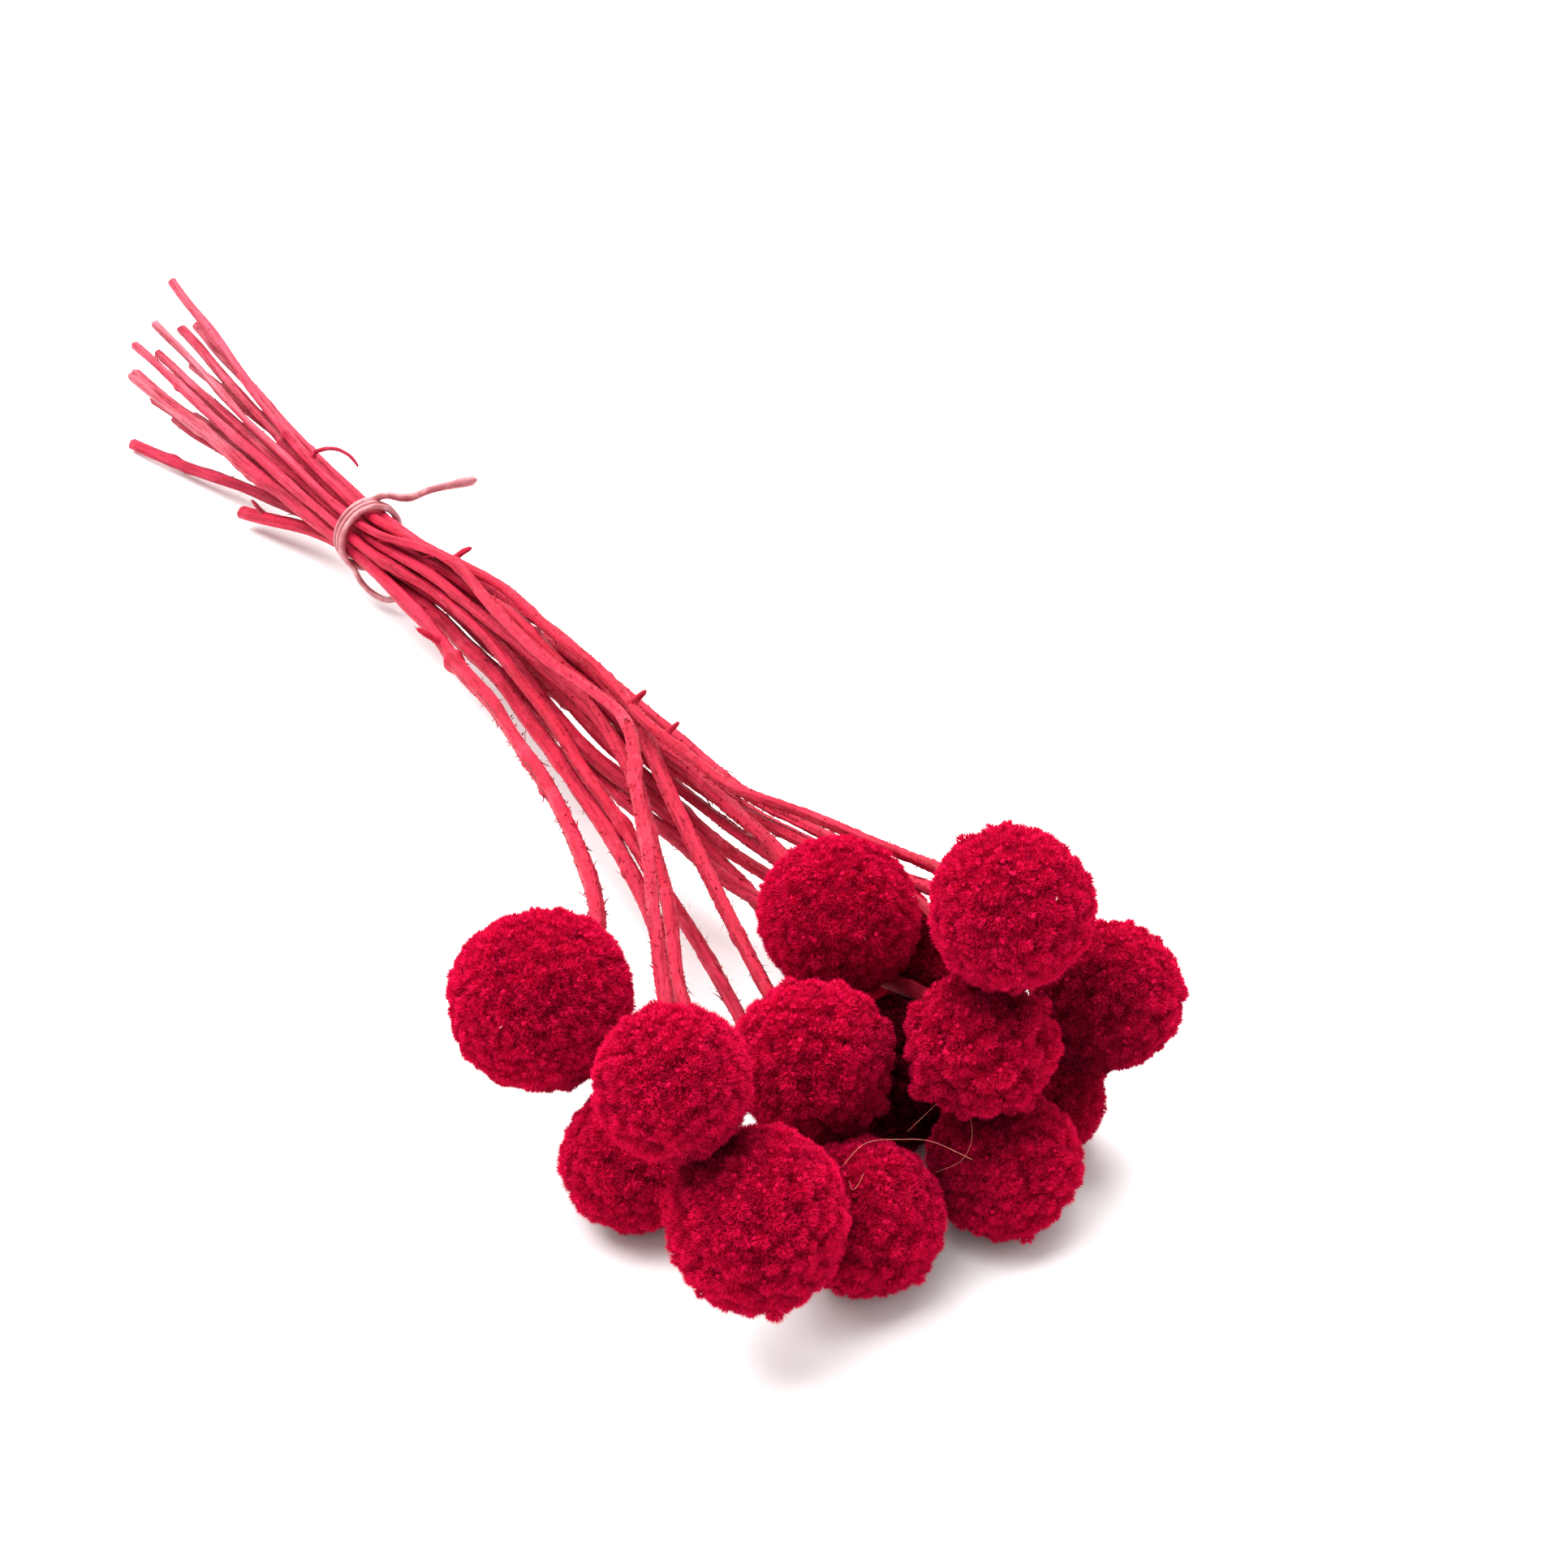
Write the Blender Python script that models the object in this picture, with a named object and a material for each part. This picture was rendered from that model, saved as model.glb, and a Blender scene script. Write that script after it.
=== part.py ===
"""A bunch of fifteen dried red craspedia that lies on a table, held together by an elastic band.

Each flower is a ball of florets with a blind socket, and a thin stem whose swollen tip, the
receptacle, sits in that socket. The stems run together through the band and fan out again to
their cut ends. +Y runs from the heads to the cut ends, +Z is up, and the table is at z = 0.
Sizes in the tables are in millimetres.
"""

import math
from typing import NamedTuple

import bmesh
import bpy
import numpy as np
from mathutils import Matrix, Vector

MM = 0.001
CLEARANCE = 0.3  # kept between pieces that touch

# Stems
STEM_RADIUS_AT_CUT = 1.15
STEM_RADIUS_AT_BAND = 1.22  # the band squeezes thick stems to this
STEM_RADIUS_IN_BUNDLE = 1.22
STEM_RADIUS_AT_HEAD = 1.05
THICK_FROM = 30.0  # towards the heads from the band, the stems are thickest from here
THICK_TO = 90.0  # to here
TAPERED_BY = 25.0  # behind the band, the stems have their cut ends' thickness from here on
STEM_SIDES = 7
STATION = 10.0  # distance along Y between the rings of a stem
STATIONS = 37
STATIONS_BEFORE_BAND = 25
END_SPACE = 0.4 * STATION  # no ring stands closer than this to either end of a stem
MOUTH_GAP = 1.5  # a stem's last ring outside its head stands this far off the ball

# Receptacle: the swollen tip of a stem, inside the head
TIP_RADIUS = 2.1
TIP_LENGTH = 5.0
TIP_SHOULDER = 0.45  # share of its length at which it has nearly its full radius
TIP_SHOULDER_RADIUS = 0.88 * TIP_RADIUS
SOCKET_SHOULDER = 0.5
SOCKET_NECK = 1.0  # the socket narrows to the stem over this distance past the receptacle
SOCKET_OVERSHOOT = 4.0  # the cutter sticks out of the ball by this much
SOCKET_SIDES = 8

# Heads
HEAD_SUBDIVISIONS = 3
HEAD_WAVINESS = 0.035  # how far the ball dips in from its full radius, as a share of it
HEAD_WAVES = (2.1, 2.7, 3.1)  # radians of each wave across the ball's radius along X, Y and Z

# Elastic band, wound round the stems where they are closest together
BAND_CENTRE = Vector((-0.9, 68.5, 13.2))
BAND_STRAND_RADIUS = 0.65
BAND_TURNS = 2
BAND_FIRST_ANGLE = 75.0  # degrees from +X towards +Z
BAND_EXTRA_ANGLE = 150.0  # wound on past the whole turns
BAND_PITCH = 1.75
BAND_TILT = 0.17  # the band stands square to the stems, which cross Y at this slope
BAND_POINTS_PER_TURN = 22
WAIST = 4.0  # the stems run parallel for this far on each side of the band's middle
WAIST_SLOPE = 0.8 * BAND_TILT

# The stems sit in two rings inside the band: five in the middle and ten round them.
SLOT_PITCH = 2 * STEM_RADIUS_AT_BAND + CLEARANCE / 2
INNER_RING = 0.851 * SLOT_PITCH
OUTER_RING = 1.785 * SLOT_PITCH
BAND_INNER_RADIUS = OUTER_RING + STEM_RADIUS_AT_BAND + CLEARANCE

HEAD_COLOUR = (0.36, 0.002, 0.022, 1.0)
HEAD_ROUGHNESS = 0.95
STEM_COLOUR = (0.78, 0.028, 0.075, 1.0)
STEM_ROUGHNESS = 0.75
BAND_COLOUR = (0.66, 0.24, 0.28, 1.0)
BAND_ROUGHNESS = 0.45


class Flower(NamedTuple):
    """One flower, in millimetres."""

    head: tuple  # middle of the ball
    radius: float  # of the ball
    ring: str  # outer or inner ring of stems in the band
    angle: float  # place in that ring, in degrees from +X towards +Z
    cut_end: tuple
    girth: float  # how thick the stem is, as a share of the usual thickness
    route: tuple  # the stem's own bends between the band and the head


FLOWERS = {
    "flower_01": Flower(
        head=(-35.5, -116.5, 27),
        radius=12.9,
        ring="outer",
        angle=198,
        cut_end=(-25, 163, 18),
        girth=1.28,
        route=(
            (-1.5, 30, 10.5), (-2.5, 1, 12), (-4.5, -30, 14.5), (-8, -55, 17),
            (-12.5, -78, 20), (-17, -91, 22), (-21, -102, 24.5),
        ),
    ),
    "flower_02": Flower(
        head=(-33.5, -159, 40.5),
        radius=10,
        ring="outer",
        angle=126,
        cut_end=(-17, 170, 26),
        girth=0.86,
        route=(
            (6, 36, 20.5), (5.5, 10, 22), (5, -16, 24), (6.2, -36, 27), (5, -52, 30),
            (0, -69, 32), (-8, -90, 34.5), (-17, -115, 37.5),
        ),
    ),
    "flower_03": Flower(
        head=(-30, -136, 10),
        radius=10.2,
        ring="outer",
        angle=234,
        cut_end=(-16, 111, 3.6),
        girth=1.15,
        route=(
            (3, 30, 9.5), (2.8, 0, 11.5), (1, -40, 13), (-1.5, -66, 13.5), (-5.5, -90, 12.5),
            (-14, -112, 11),
        ),
    ),
    "flower_04": Flower(
        head=(-26, -168, 22),
        radius=11.9,
        ring="inner",
        angle=144,
        cut_end=(-19, 164, 21.5),
        girth=1,
        route=(
            (5, 18, 17), (8, -40, 20.5), (6.5, -54, 20.5), (2, -70, 20), (-4, -90, 20),
            (-14, -120, 20.5),
        ),
    ),
    "flower_05": Flower(
        head=(-6.5, -162, 10.2),
        radius=10.6,
        ring="outer",
        angle=162,
        cut_end=(-22.7, 168, 22.3),
        girth=1.05,
        route=(
            (3, 38, 14.5), (4, 10, 16.5), (3, -20, 16.5), (1, -50, 15.5), (0.5, -74, 13.5),
            (-1.5, -110, 9.5), (-4.5, -135, 8.5),
        ),
    ),
    "flower_06": Flower(
        head=(-5.5, -143, 23.5),
        radius=10.8,
        ring="inner",
        angle=0,
        cut_end=(-15, 161, 14),
        girth=1.05,
        route=(
            (8.5, 18, 15.5), (9.5, -42, 23.5), (6, -63, 24), (3, -80, 24), (-2, -112, 24),
        ),
    ),
    "flower_07": Flower(
        head=(10.5, -120, 30),
        radius=11.9,
        ring="inner",
        angle=72,
        cut_end=(-12, 168, 25),
        girth=1.05,
        route=(
            (8, 18, 19.5), (11, -40, 21.5), (12, -70, 25), (11.5, -95, 28),
        ),
    ),
    "flower_08": Flower(
        head=(17, -157.5, 52),
        radius=10.9,
        ring="outer",
        angle=90,
        cut_end=(-10, 180, 32),
        girth=0.88,
        route=(
            (7.5, 24, 21.5), (9.5, -10, 24), (10, -38, 26), (8.7, -55, 27.6), (11, -70, 28.4),
            (10.8, -84, 31.6), (15.5, -102, 35.5), (20.5, -113, 36),
        ),
    ),
    "flower_09": Flower(
        head=(38, -151.5, 27),
        radius=10.5,
        ring="outer",
        angle=54,
        cut_end=(-8, 170, 24),
        girth=0.9,
        route=(
            (11.5, 18, 16.5), (12.8, -42, 22.5), (15.5, -80, 25), (24, -108, 26.5),
            (31, -127, 27.5),
        ),
    ),
    "flower_10": Flower(
        head=(13, -158, 31),
        radius=9.8,
        ring="outer",
        angle=342,
        cut_end=(-16, 158, 9),
        girth=0.95,
        route=(
            (11.5, 18, 11.5), (11.5, -42, 19.5), (14, -70, 22.5), (20, -97, 26),
            (23.8, -118, 28.5), (21, -138, 31),
        ),
    ),
    "flower_11": Flower(
        head=(16.5, -160, 10.2),
        radius=10.6,
        ring="outer",
        angle=270,
        cut_end=(-27.5, 162, 1.35),
        girth=1.05,
        route=(
            (5.2, 18, 8), (7.5, -42, 12.5), (12, -80, 13), (16, -108, 15), (18, -122, 16.5),
            (21.5, -136, 17.5), (20.5, -144, 15.5),
        ),
    ),
    "flower_12": Flower(
        head=(31, -146.5, 8.6),
        radius=8.9,
        ring="outer",
        angle=18,
        cut_end=(-11, 165, 17),
        girth=0.9,
        route=(
            (12, 18, 13.8), (13.5, -42, 20.5), (18, -82, 21), (27, -108, 24),
            (35.5, -122, 23.5), (37, -131, 20.5), (36.8, -136, 17),
        ),
    ),
    "flower_13": Flower(
        head=(26, -101, 10.2),
        radius=10.5,
        ring="inner",
        angle=288,
        cut_end=(-18, 156, 8),
        girth=1.05,
        route=(
            (8.7, 18, 11.5), (9, -42, 16), (15, -70, 12.5),
        ),
    ),
    "flower_14": Flower(
        head=(12, -135.5, 10.6),
        radius=10.9,
        ring="inner",
        angle=216,
        cut_end=(-22, 159, 13),
        girth=1.05,
        route=(
            (5.5, 18, 12.5), (5, -42, 14), (9, -60, 13.5), (12, -80, 12.5), (11, -108, 11.5),
        ),
    ),
    "flower_15": Flower(
        head=(28, -122.5, 16.5),
        radius=9.5,
        ring="outer",
        angle=306,
        cut_end=(-16.2, 147, 12.2),
        girth=0.95,
        route=(
            (8, 18, 8.5), (11.5, -42, 18), (15, -75, 18.5), (17, -96, 20.5), (20, -107, 20),
        ),
    ),
}

# Leaf stubs: stem they stand on, distance along Y, way they point, length and base radius
LEAF_STUBS = {
    "leaf_stub_1": ("flower_08", 42.0, (0.85, -0.45, 0.10), 4.6, 0.75),
    "leaf_stub_2": ("flower_01", 21.0, (-0.60, 0.62, 0.45), 4.0, 0.75),
    "leaf_stub_3": ("flower_08", -42.0, (0.25, -0.90, 0.45), 2.4, 0.95),
    "leaf_stub_4": ("flower_08", -57.0, (0.70, -0.30, 0.50), 1.9, 0.70),
    "leaf_stub_5": ("flower_03", 103.0, (-0.45, 0.75, 0.50), 3.0, 0.60),
}
STUB_PROFILE = ((0.0, 1.0), (0.35, 0.8), (0.7, 0.5), (1.0, 0.2))  # shares of length and base radius
STUB_SIDES = 7

# Curled shoot behind the band, and the loose parts of the band, point by point
SHOOT_RADIUS = 0.45
SHOOT_TAPER = 0.45  # share of its radius that it has lost at its tip
SHOOT_ROUTE = (
    (-3.0, 97.0, 20.6),
    (-1.3, 94.5, 22.2),
    (0.8, 91.5, 22.8),
    (2.8, 88.4, 21.7),
    (3.6, 86.5, 19.6),
)
BAND_TAIL = (
    (3.4, 68.9, 21.2),
    (6.0, 67.4, 20.8),
    (8.2, 65.5, 21.3),
    (11.0, 62.0, 23.8),
    (14.7, 58.5, 25.6),
)
BAND_TAIL_TIP = (18.6, 55.5, 27.1)
BAND_KNOB_RADII = (0.75, 0.95, 0.9)  # the tail's thick end
BAND_LOOP = (
    (-4.6, 64.2, 5.2),
    (-3.4, 60.6, 4.0),
    (-1.4, 57.4, 3.6),
    (0.8, 56.6, 4.6),
    (1.9, 59.0, 5.2),
)
BAND_LOOP_END = (1.2, 63.0, 5.4)
TUBE_SIDES = 6
STEPS_IN_TAIL = 3  # rings from one point of a route to the next
STEPS_IN_CURL = 4

RELAX_ROUNDS = 400
RELAX_SMOOTHING = 0.35
SETTLE_ROUNDS = 60  # the last rounds only push apart
BALL_MARGIN = 0.6  # a straight stretch of stem cuts this deep into a ball's curve
SPARE_GAP = 0.05  # what rounding may take off a gap
TABLE_GAP = 0.2  # between the table and a stem that runs just above it


def clear_scene():
    for obj in list(bpy.data.objects):
        bpy.data.objects.remove(obj, do_unlink=True)


def make_material(name, colour, roughness):
    material = bpy.data.materials.new(name)
    material.use_nodes = True
    shader = material.node_tree.nodes["Principled BSDF"]
    shader.inputs["Base Color"].default_value = colour
    shader.inputs["Roughness"].default_value = roughness
    shader.inputs["Metallic"].default_value = 0.0
    return material


def add_object(name, mesh, colour, roughness):
    """Adds a mesh in millimetres to the scene, in metres and shaded smooth, with its own material."""
    mesh.transform(Matrix.Scale(MM, 4))
    mesh.shade_smooth()
    obj = bpy.data.objects.new(name, mesh)
    obj.data.materials.append(make_material(name + "_material", colour, roughness))
    bpy.context.scene.collection.objects.link(obj)
    return obj


# ---------------------------------------------------------------- stem routes


def slot_in_band(flower):
    radius = OUTER_RING if flower.ring == "outer" else INNER_RING
    angle = math.radians(flower.angle)
    return Vector((radius * math.cos(angle), 0.0, radius * math.sin(angle))) + BAND_CENTRE


def socket_direction(flower):
    """The way from the middle of the head out along its stem."""
    return (Vector(flower.route[-1]) - Vector(flower.head)).normalized()


def socket_mouth(flower):
    """Where the stem leaves the head, just outside the ball."""
    return Vector(flower.head) + socket_direction(flower) * (flower.radius + MOUTH_GAP)


def stem_radius(flower, y):
    """Thickest between the band and the fan, thinner under the head, at the band and at the cut."""
    girth = flower.girth
    profile = (
        (flower.head[1], STEM_RADIUS_AT_HEAD * girth),
        (BAND_CENTRE.y - THICK_TO, STEM_RADIUS_IN_BUNDLE * girth),
        (BAND_CENTRE.y - THICK_FROM, STEM_RADIUS_IN_BUNDLE * girth),
        (BAND_CENTRE.y, STEM_RADIUS_AT_BAND * min(girth, 1.0)),
        (BAND_CENTRE.y + TAPERED_BY, STEM_RADIUS_AT_CUT * girth),
        (flower.cut_end[1], STEM_RADIUS_AT_CUT * girth),
    )
    ys, radii = zip(*sorted(profile))
    return np.interp(y, ys, radii)


def smooth_through(points, ys):
    """A smooth curve through points that go along -Y, read at ys: x and z for each."""
    points = np.array([tuple(p) for p in points])[::-1]
    knots = points[:, 1]
    steps = np.diff(knots)
    out = []
    for column in (0, 2):
        values = points[:, column]
        slopes = np.diff(values) / steps
        tangents = np.empty(len(values))
        tangents[1:-1] = (slopes[:-1] * steps[1:] + slopes[1:] * steps[:-1]) / (steps[:-1] + steps[1:])
        tangents[0] = slopes[0]
        tangents[-1] = slopes[-1]
        index = np.clip(np.searchsorted(knots, ys) - 1, 0, len(steps) - 1)
        t = (ys - knots[index]) / steps[index]
        h = steps[index]
        out.append(
            (2 * t**3 - 3 * t**2 + 1) * values[index]
            + (t**3 - 2 * t**2 + t) * h * tangents[index]
            + (3 * t**2 - 2 * t**3) * values[index + 1]
            + (t**3 - t**2) * h * tangents[index + 1]
        )
    return np.column_stack(out)


def lay_out_stems():
    """Reads each route at the same stations along Y, then pushes the stems apart where they overlap.

    Gives each stem's points in millimetres, from its cut end to the mouth of its socket.
    """
    names = list(FLOWERS)
    grid = BAND_CENTRE.y + STATION * (np.arange(STATIONS) - STATIONS_BEFORE_BAND)
    shape = (len(names), len(grid))
    live = np.zeros(shape, bool)
    fixed = np.zeros(shape, bool)
    start = np.zeros(shape + (2,))
    radius = np.zeros(shape)
    for s, name in enumerate(names):
        flower = FLOWERS[name]
        slot = slot_in_band(flower)
        mouth = socket_mouth(flower)
        waist = Vector((WAIST_SLOPE * WAIST, 0, 0))
        knots = [
            Vector(flower.cut_end),
            slot + Vector((0, WAIST, 0)) - waist,
            slot,
            slot - Vector((0, WAIST, 0)) + waist,
            *[Vector(p) for p in flower.route],
            mouth,
        ]
        live[s] = (grid > mouth.y + END_SPACE) & (grid < flower.cut_end[1] - END_SPACE)
        fixed[s] = np.abs(grid - BAND_CENTRE.y) < WAIST
        start[s] = smooth_through(knots, grid)
        radius[s] = stem_radius(flower, grid)
    moved = np.zeros(shape + (2,))
    free = live & ~fixed
    for turn in range(RELAX_ROUNDS):
        place = start + moved
        slope = np.gradient(place, STATION, axis=1)
        push = np.zeros(shape + (2,))
        for a in range(len(names)):
            for b in range(a):
                away = place[a] - place[b]
                apart = np.linalg.norm(away, axis=1) + 1e-9
                normal = away / apart[:, None]
                wide_a = radius[a] * np.sqrt(1 + (slope[a] * normal).sum(1) ** 2)
                wide_b = radius[b] * np.sqrt(1 + (slope[b] * normal).sum(1) ** 2)
                short = np.clip(wide_a + wide_b + CLEARANCE + SPARE_GAP - apart, 0, None)
                short *= live[a] & live[b]
                push[a] += normal * (0.5 * short)[:, None]
                push[b] -= normal * (0.5 * short)[:, None]
            for other in names:
                if other == names[a]:
                    continue
                ball = FLOWERS[other]
                centre = np.array([ball.head[0], ball.head[2]])
                away = place[a] - centre
                along = grid - ball.head[1]
                distance = np.sqrt((away**2).sum(1) + along**2) + 1e-9
                reach = ball.radius + radius[a] + CLEARANCE + BALL_MARGIN
                short = np.clip(reach - distance, 0, None) * live[a]
                flat = np.linalg.norm(away, axis=1) + 1e-9
                push[a] += away / flat[:, None] * short[:, None]
        moved += push * free[..., None]
        if turn < RELAX_ROUNDS - SETTLE_ROUNDS:
            middle = (moved[:, :-2] + moved[:, 2:]) / 2
            eased = moved.copy()
            eased[:, 1:-1] += RELAX_SMOOTHING * (middle - moved[:, 1:-1])
            moved = np.where(free[..., None], eased, moved)
        low = np.clip(radius + TABLE_GAP - (start + moved)[..., 1], 0, None) * free
        moved[..., 1] += low
    stems = {}
    for s, name in enumerate(names):
        flower = FLOWERS[name]
        inner = [
            Vector((x, y, z))
            for y, (x, z), here in zip(grid, start[s] + moved[s], live[s])
            if here
        ]
        stems[name] = [Vector(flower.cut_end), *reversed(inner), socket_mouth(flower)]
    return stems


# ---------------------------------------------------------------- solids


def add_ring(bm, centre, x_axis, y_axis, radius, sides):
    return [
        bm.verts.new(
            centre
            + x_axis * (radius * math.cos(2 * math.pi * k / sides))
            + y_axis * (radius * math.sin(2 * math.pi * k / sides))
        )
        for k in range(sides)
    ]


def tube_mesh(name, points, radii, sides):
    """A closed tube through points, with a flat cap on each end."""
    bm = bmesh.new()
    tangents = []
    for i in range(len(points)):
        ahead = points[min(i + 1, len(points) - 1)]
        behind = points[max(i - 1, 0)]
        tangents.append((ahead - behind).normalized())
    side = tangents[0].cross(Vector((0, 0, 1)))
    if side.length < 0.1:
        side = tangents[0].cross(Vector((1, 0, 0)))
    side.normalize()
    rings = []
    for centre, tangent, radius in zip(points, tangents, radii):
        side = (side - tangent * side.dot(tangent)).normalized()
        rings.append(add_ring(bm, centre, side, tangent.cross(side), radius, sides))
    for near, far in zip(rings, rings[1:]):
        for k in range(sides):
            following = (k + 1) % sides
            bm.faces.new((near[k], near[following], far[following], far[k]))
    bm.faces.new(reversed(rings[0]))
    bm.faces.new(rings[-1])
    bmesh.ops.recalc_face_normals(bm, faces=bm.faces)
    mesh = bpy.data.meshes.new(name)
    bm.to_mesh(mesh)
    bm.free()
    return mesh


def make_stem(name, flower, points):
    """The stem with its receptacle, the part inside the head that widens to the tip."""
    direction = socket_direction(flower)
    centre = Vector(flower.head)
    tip = [centre + direction * TIP_LENGTH * share for share in (1.0, TIP_SHOULDER, 0.0)]
    tip_radii = [STEM_RADIUS_AT_HEAD, TIP_SHOULDER_RADIUS, TIP_RADIUS]
    radii = [float(stem_radius(flower, p.y)) for p in points]
    radii[-1] = STEM_RADIUS_AT_HEAD
    mesh = tube_mesh(name + "_stem", points + tip, radii + tip_radii, STEM_SIDES)
    return add_object(name + "_stem", mesh, STEM_COLOUR, STEM_ROUGHNESS)


def make_socket_cutter(name, flower):
    """A tool the shape of the receptacle and the stem above it, with clearance all round."""
    direction = socket_direction(flower)
    centre = Vector(flower.head)
    points = [
        centre - direction * CLEARANCE,
        centre + direction * TIP_LENGTH * SOCKET_SHOULDER,
        centre + direction * (TIP_LENGTH + SOCKET_NECK),
        centre + direction * (flower.radius + SOCKET_OVERSHOOT),
    ]
    radii = [
        TIP_RADIUS + CLEARANCE,
        TIP_RADIUS + CLEARANCE,
        STEM_RADIUS_AT_HEAD + 2 * CLEARANCE,
        STEM_RADIUS_AT_HEAD + 2 * CLEARANCE,
    ]
    mesh = tube_mesh(name + "_socket", points, radii, SOCKET_SIDES)
    cutter = add_object(name + "_socket", mesh, HEAD_COLOUR, HEAD_ROUGHNESS)
    cutter.hide_render = True
    cutter.display_type = "WIRE"
    return cutter


def make_head(name, flower, number):
    """The ball of florets: round, a little uneven, and flat where its weight is on the table."""
    bm = bmesh.new()
    bmesh.ops.create_icosphere(bm, subdivisions=HEAD_SUBDIVISIONS, radius=1.0)
    centre = Vector(flower.head)
    for vert in bm.verts:
        way = vert.co.normalized()
        wave_x, wave_y, wave_z = (
            math.sin(tightness * part + order * number)
            for order, (tightness, part) in enumerate(zip(HEAD_WAVES, way), start=1)
        )
        dip = HEAD_WAVINESS * (2 + wave_x * wave_y + wave_z) / 4
        vert.co = centre + way * flower.radius * (1 - dip)
    lowest = min(vert.co.z for vert in bm.verts)
    if lowest < 0:
        cut = bmesh.ops.bisect_plane(
            bm,
            geom=bm.verts[:] + bm.edges[:] + bm.faces[:],
            plane_co=(0, 0, 0),
            plane_no=(0, 0, -1),
            clear_outer=True,
        )
        rim = [e for e in cut["geom_cut"] if isinstance(e, bmesh.types.BMEdge)]
        bmesh.ops.contextual_create(bm, geom=rim)
    bmesh.ops.recalc_face_normals(bm, faces=bm.faces)
    mesh = bpy.data.meshes.new(name + "_head")
    bm.to_mesh(mesh)
    bm.free()
    head = add_object(name + "_head", mesh, HEAD_COLOUR, HEAD_ROUGHNESS)
    cut = head.modifiers.new("socket", "BOOLEAN")
    cut.operation = "DIFFERENCE"
    cut.object = make_socket_cutter(name, flower)
    return head


def smooth_route(points, steps):
    """A Catmull-Rom curve through points, with steps pieces between each pair."""
    points = [Vector(p) for p in points]
    padded = [2 * points[0] - points[1], *points, 2 * points[-1] - points[-2]]
    out = []
    for a, b, c, d in zip(padded, padded[1:], padded[2:], padded[3:]):
        for k in range(steps):
            t = k / steps
            out.append(
                0.5
                * (
                    2 * b
                    + (c - a) * t
                    + (2 * a - 5 * b + 4 * c - d) * t**2
                    + (3 * b - a - 3 * c + d) * t**3
                )
            )
    out.append(points[-1])
    return out


def make_band():
    """One elastic strand: its free tail, two turns round the stems, and a slack loop under them."""
    ring_radius = BAND_INNER_RADIUS + BAND_STRAND_RADIUS
    first_angle = math.radians(BAND_FIRST_ANGLE)
    turns = BAND_TURNS + BAND_EXTRA_ANGLE / 360
    count = round(BAND_POINTS_PER_TURN * turns)
    wound = []
    for k in range(count + 1):
        share = k / count
        angle = first_angle + 2 * math.pi * turns * share
        offset = Vector((ring_radius * math.cos(angle), 0, ring_radius * math.sin(angle)))
        offset.y = BAND_TILT * offset.x + BAND_PITCH * turns * (0.5 - share)
        wound.append(BAND_CENTRE + offset)
    tail = smooth_route([BAND_TAIL_TIP, *reversed(BAND_TAIL), wound[0]], STEPS_IN_TAIL)[:-1]
    loop = smooth_route([wound[-1], *BAND_LOOP, BAND_LOOP_END], STEPS_IN_CURL)[1:]
    points = tail + wound + loop
    radii = [BAND_STRAND_RADIUS] * len(points)
    radii[: len(BAND_KNOB_RADII)] = BAND_KNOB_RADII
    mesh = tube_mesh("elastic_band", points, radii, TUBE_SIDES)
    return add_object("elastic_band", mesh, BAND_COLOUR, BAND_ROUGHNESS)


def place_on_stem(points, y):
    """The middle of a stem at a distance along Y."""
    for here, following in zip(points, points[1:]):
        if following.y <= y <= here.y:
            share = (here.y - y) / (here.y - following.y)
            return here.lerp(following, share)
    raise ValueError("the stem does not reach this far")


def make_leaf_stub(name, stems):
    """What is left of a stripped leaf: a short spike that stands on its stem."""
    owner, y, way, length, base = LEAF_STUBS[name]
    direction = Vector(way).normalized()
    foot = place_on_stem(stems[owner], y)
    stem_way = (place_on_stem(stems[owner], y - 1) - foot).normalized()
    sideways = (direction - stem_way * direction.dot(stem_way)).normalized()
    out = float(stem_radius(FLOWERS[owner], y)) + CLEARANCE + base
    foot += sideways * out
    points = [foot + direction * length * share for share, _ in STUB_PROFILE]
    radii = [base * share for _, share in STUB_PROFILE]
    mesh = tube_mesh(name, points, radii, STUB_SIDES)
    return add_object(name, mesh, STEM_COLOUR, STEM_ROUGHNESS)


def make_shoot():
    """A thin side shoot that curls over, just behind the band."""
    points = smooth_route(SHOOT_ROUTE, STEPS_IN_CURL)
    count = len(points)
    radii = [SHOOT_RADIUS * (1.0 - SHOOT_TAPER * k / count) for k in range(count)]
    mesh = tube_mesh("curled_shoot", points, radii, TUBE_SIDES)
    return add_object("curled_shoot", mesh, STEM_COLOUR, STEM_ROUGHNESS)


def build():
    clear_scene()
    stems = lay_out_stems()
    for number, (name, flower) in enumerate(FLOWERS.items(), start=1):
        make_head(name, flower, number)
        make_stem(name, flower, stems[name])
    for name in LEAF_STUBS:
        make_leaf_stub(name, stems)
    make_shoot()
    make_band()


build()
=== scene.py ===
"""Looks for a bunch of dried red craspedia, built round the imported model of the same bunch.

Every head becomes a pompom of separate florets, every stem a ridged and fibrous stalk, and the
elastic band a stretched rubber strand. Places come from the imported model. Lengths are in
millimetres until a mesh is made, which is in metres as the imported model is. +Y runs from the
heads to the cut ends, +Z is up, and the table is at z = 0.
"""

import math

import bmesh
import bpy
import numpy as np
from mathutils import Matrix, Vector


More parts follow.
